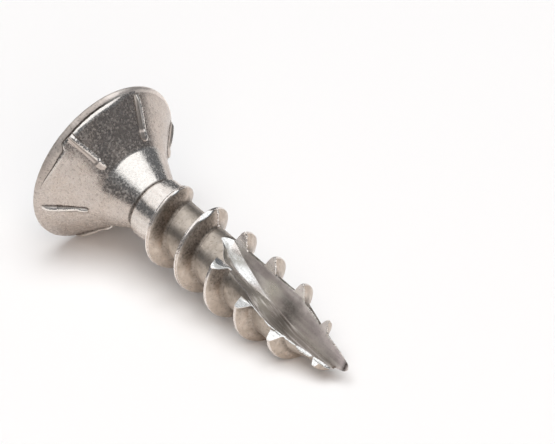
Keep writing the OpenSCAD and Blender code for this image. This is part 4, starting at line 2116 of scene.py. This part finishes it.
@dataclass(frozen=True)
class Lamp:
    """A round lamp, which either shows in the steel or lights the sheet."""

    name: str
    size: float
    place: tuple[float, float, float]
    radiance: Colour
    in_steel: bool

    def build(self) -> None:
        """Hangs the lamp, aimed at the middle of the sheet."""
        area = math.pi * (self.size / 2) ** 2
        lamp = bpy.data.lights.new(self.name, "AREA")
        lamp.shape = "DISK"
        lamp.size = self.size
        lamp.energy = math.pi * area
        lamp.color = self.radiance
        holder = bpy.data.objects.new(self.name, lamp)
        holder.location = self.place
        holder.rotation_mode = "QUATERNION"
        holder.rotation_quaternion = (-Vector(self.place)).to_track_quat("-Z", "Y")
        holder.visible_glossy = self.in_steel
        holder.visible_diffuse = not self.in_steel
        bpy.context.scene.collection.objects.link(holder)


@dataclass(frozen=True)
class Studio:
    """A white sheet lit by a key and a fill lamp, a softbox that the steel shows, and a dim room."""

    floor_r: float = 0.78
    flat_r: float = 0.6
    floor_rise: float = 0.045
    floor_colour: Colour = (0.93, 0.925, 0.92)
    floor_rough: float = 0.9
    lamps: tuple[Lamp, ...] = (
        Lamp("softbox", 4.4, (0.0, 0.0, 2.0), (1.14, 1.16, 1.18), True),
        Lamp("key_lamp", 2.2, (0.27, -0.22, 2.0), (3.22, 3.26, 3.3), False),
        Lamp("fill_lamp", 1.2, (1.0, -0.75, 0.85), (2.75, 2.36, 2.1), False),
    )
    room_colour: Colour = (0.145, 0.153, 0.165)

    def floor(self) -> None:
        """Makes the white sheet, which curves up a little towards its edge."""
        rings, columns, spread = 40, 96, 1.5
        radius = self.floor_r * np.linspace(0, 1, rings) ** spread
        rise = self.floor_rise * ease_between(radius, self.flat_r, self.floor_r) ** 2
        turn = ring_turns(columns)
        points = polar(radius[1:, None], turn[None, :], rise[1:, None]).reshape(-1, 3)
        points = np.concatenate([[[0.0, 0.0, 0.0]], points])
        faces = [(0, 1 + k, 1 + (k + 1) % columns) for k in range(columns)]
        for ring in range(rings - 2):
            for k in range(columns):
                beside = (k + 1) % columns
                low = 1 + ring * columns
                faces.append((low + k, low + columns + k, low + columns + beside, low + beside))
        mesh = bpy.data.meshes.new("white_sheet")
        mesh.from_pydata(points.tolist(), [], faces)
        mesh.polygons.foreach_set("use_smooth", [True] * len(faces))
        sheet = bpy.data.objects.new("white_sheet", mesh)
        bpy.context.scene.collection.objects.link(sheet)
        material = bpy.data.materials.new("white_paper")
        material.use_nodes = True
        shader = material.node_tree.nodes["Principled BSDF"]
        shader.inputs["Base Color"].default_value = (*self.floor_colour, 1)
        shader.inputs["Roughness"].default_value = self.floor_rough
        shader.inputs["Specular IOR Level"].default_value = 0.0
        mesh.materials.append(material)

    def room(self) -> None:
        """Makes the dim room."""
        world = bpy.data.worlds.new("dim_room")
        world.use_nodes = True
        world.node_tree.nodes["Background"].inputs["Color"].default_value = (*self.room_colour, 1)
        bpy.context.scene.world = world

    def build(self) -> None:
        """Sets the stage."""
        bpy.context.scene.view_settings.view_transform = "Standard"
        self.floor()
        for lamp in self.lamps:
            lamp.build()
        self.room()


@dataclass(frozen=True)
class PhotoCamera:
    """The camera as it stood for the photograph."""

    aim_mm: tuple[float, float, float] = (-3.503, 7.236, 0.0)
    turn_deg: float = 48.517
    tilt_deg: float = 33.98
    roll_deg: float = -0.49
    distance_mm: float = 327.46
    focal_px: float = 6412.0
    frame_w_px: float = 555.0
    near_m: float = 0.01

    def build(self) -> None:
        """Makes the camera."""
        turn, tilt = math.radians(self.turn_deg), math.radians(self.tilt_deg)
        back = Vector((math.sin(turn) * math.cos(tilt), -math.cos(turn) * math.cos(tilt), math.sin(tilt)))
        data = bpy.data.cameras.new("photo_camera")
        data.sensor_fit = "HORIZONTAL"
        data.lens = data.sensor_width * self.focal_px / self.frame_w_px
        data.clip_start = self.near_m
        camera = bpy.data.objects.new("photo_camera", data)
        camera.rotation_mode = "QUATERNION"
        roll = Quaternion((0, 0, 1), math.radians(self.roll_deg))
        camera.rotation_quaternion = (-back).to_track_quat("-Z", "Y") @ roll
        camera.location = (Vector(self.aim_mm) + back * self.distance_mm) * MM
        bpy.context.scene.collection.objects.link(camera)
        bpy.context.scene.camera = camera


def main() -> None:
    """Builds the screw around its frame, in its studio."""
    logging.basicConfig(level=logging.INFO, format="%(message)s")
    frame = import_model()
    PhotoCamera().build()
    Studio().build()
    axis = ScrewAxis.from_record(frame["record"])
    effects = SurfaceEffects(axis)
    finishes = (FORMED, RIBBED, FACED, RIMMED, ROLLED, RIDGED, MILLED, SAWN)
    coats = {finish.name: finish.make(effects) for finish in finishes}
    bench = Bench(axis, coats)
    form = Underhead()
    sections = ShankSection(Shank(), Flute())
    pieces = (
        CountersunkHead(form, DriveRecess()),
        CuttingRibs(form),
        SlimNeck(form),
        PlainCollar(),
        ThreadCore(sections),
        CoarseThread(sections),
        FlutedPoint(sections),
    )
    for piece in pieces:
        piece.build(bench)


if __name__ == "__main__":
    main()
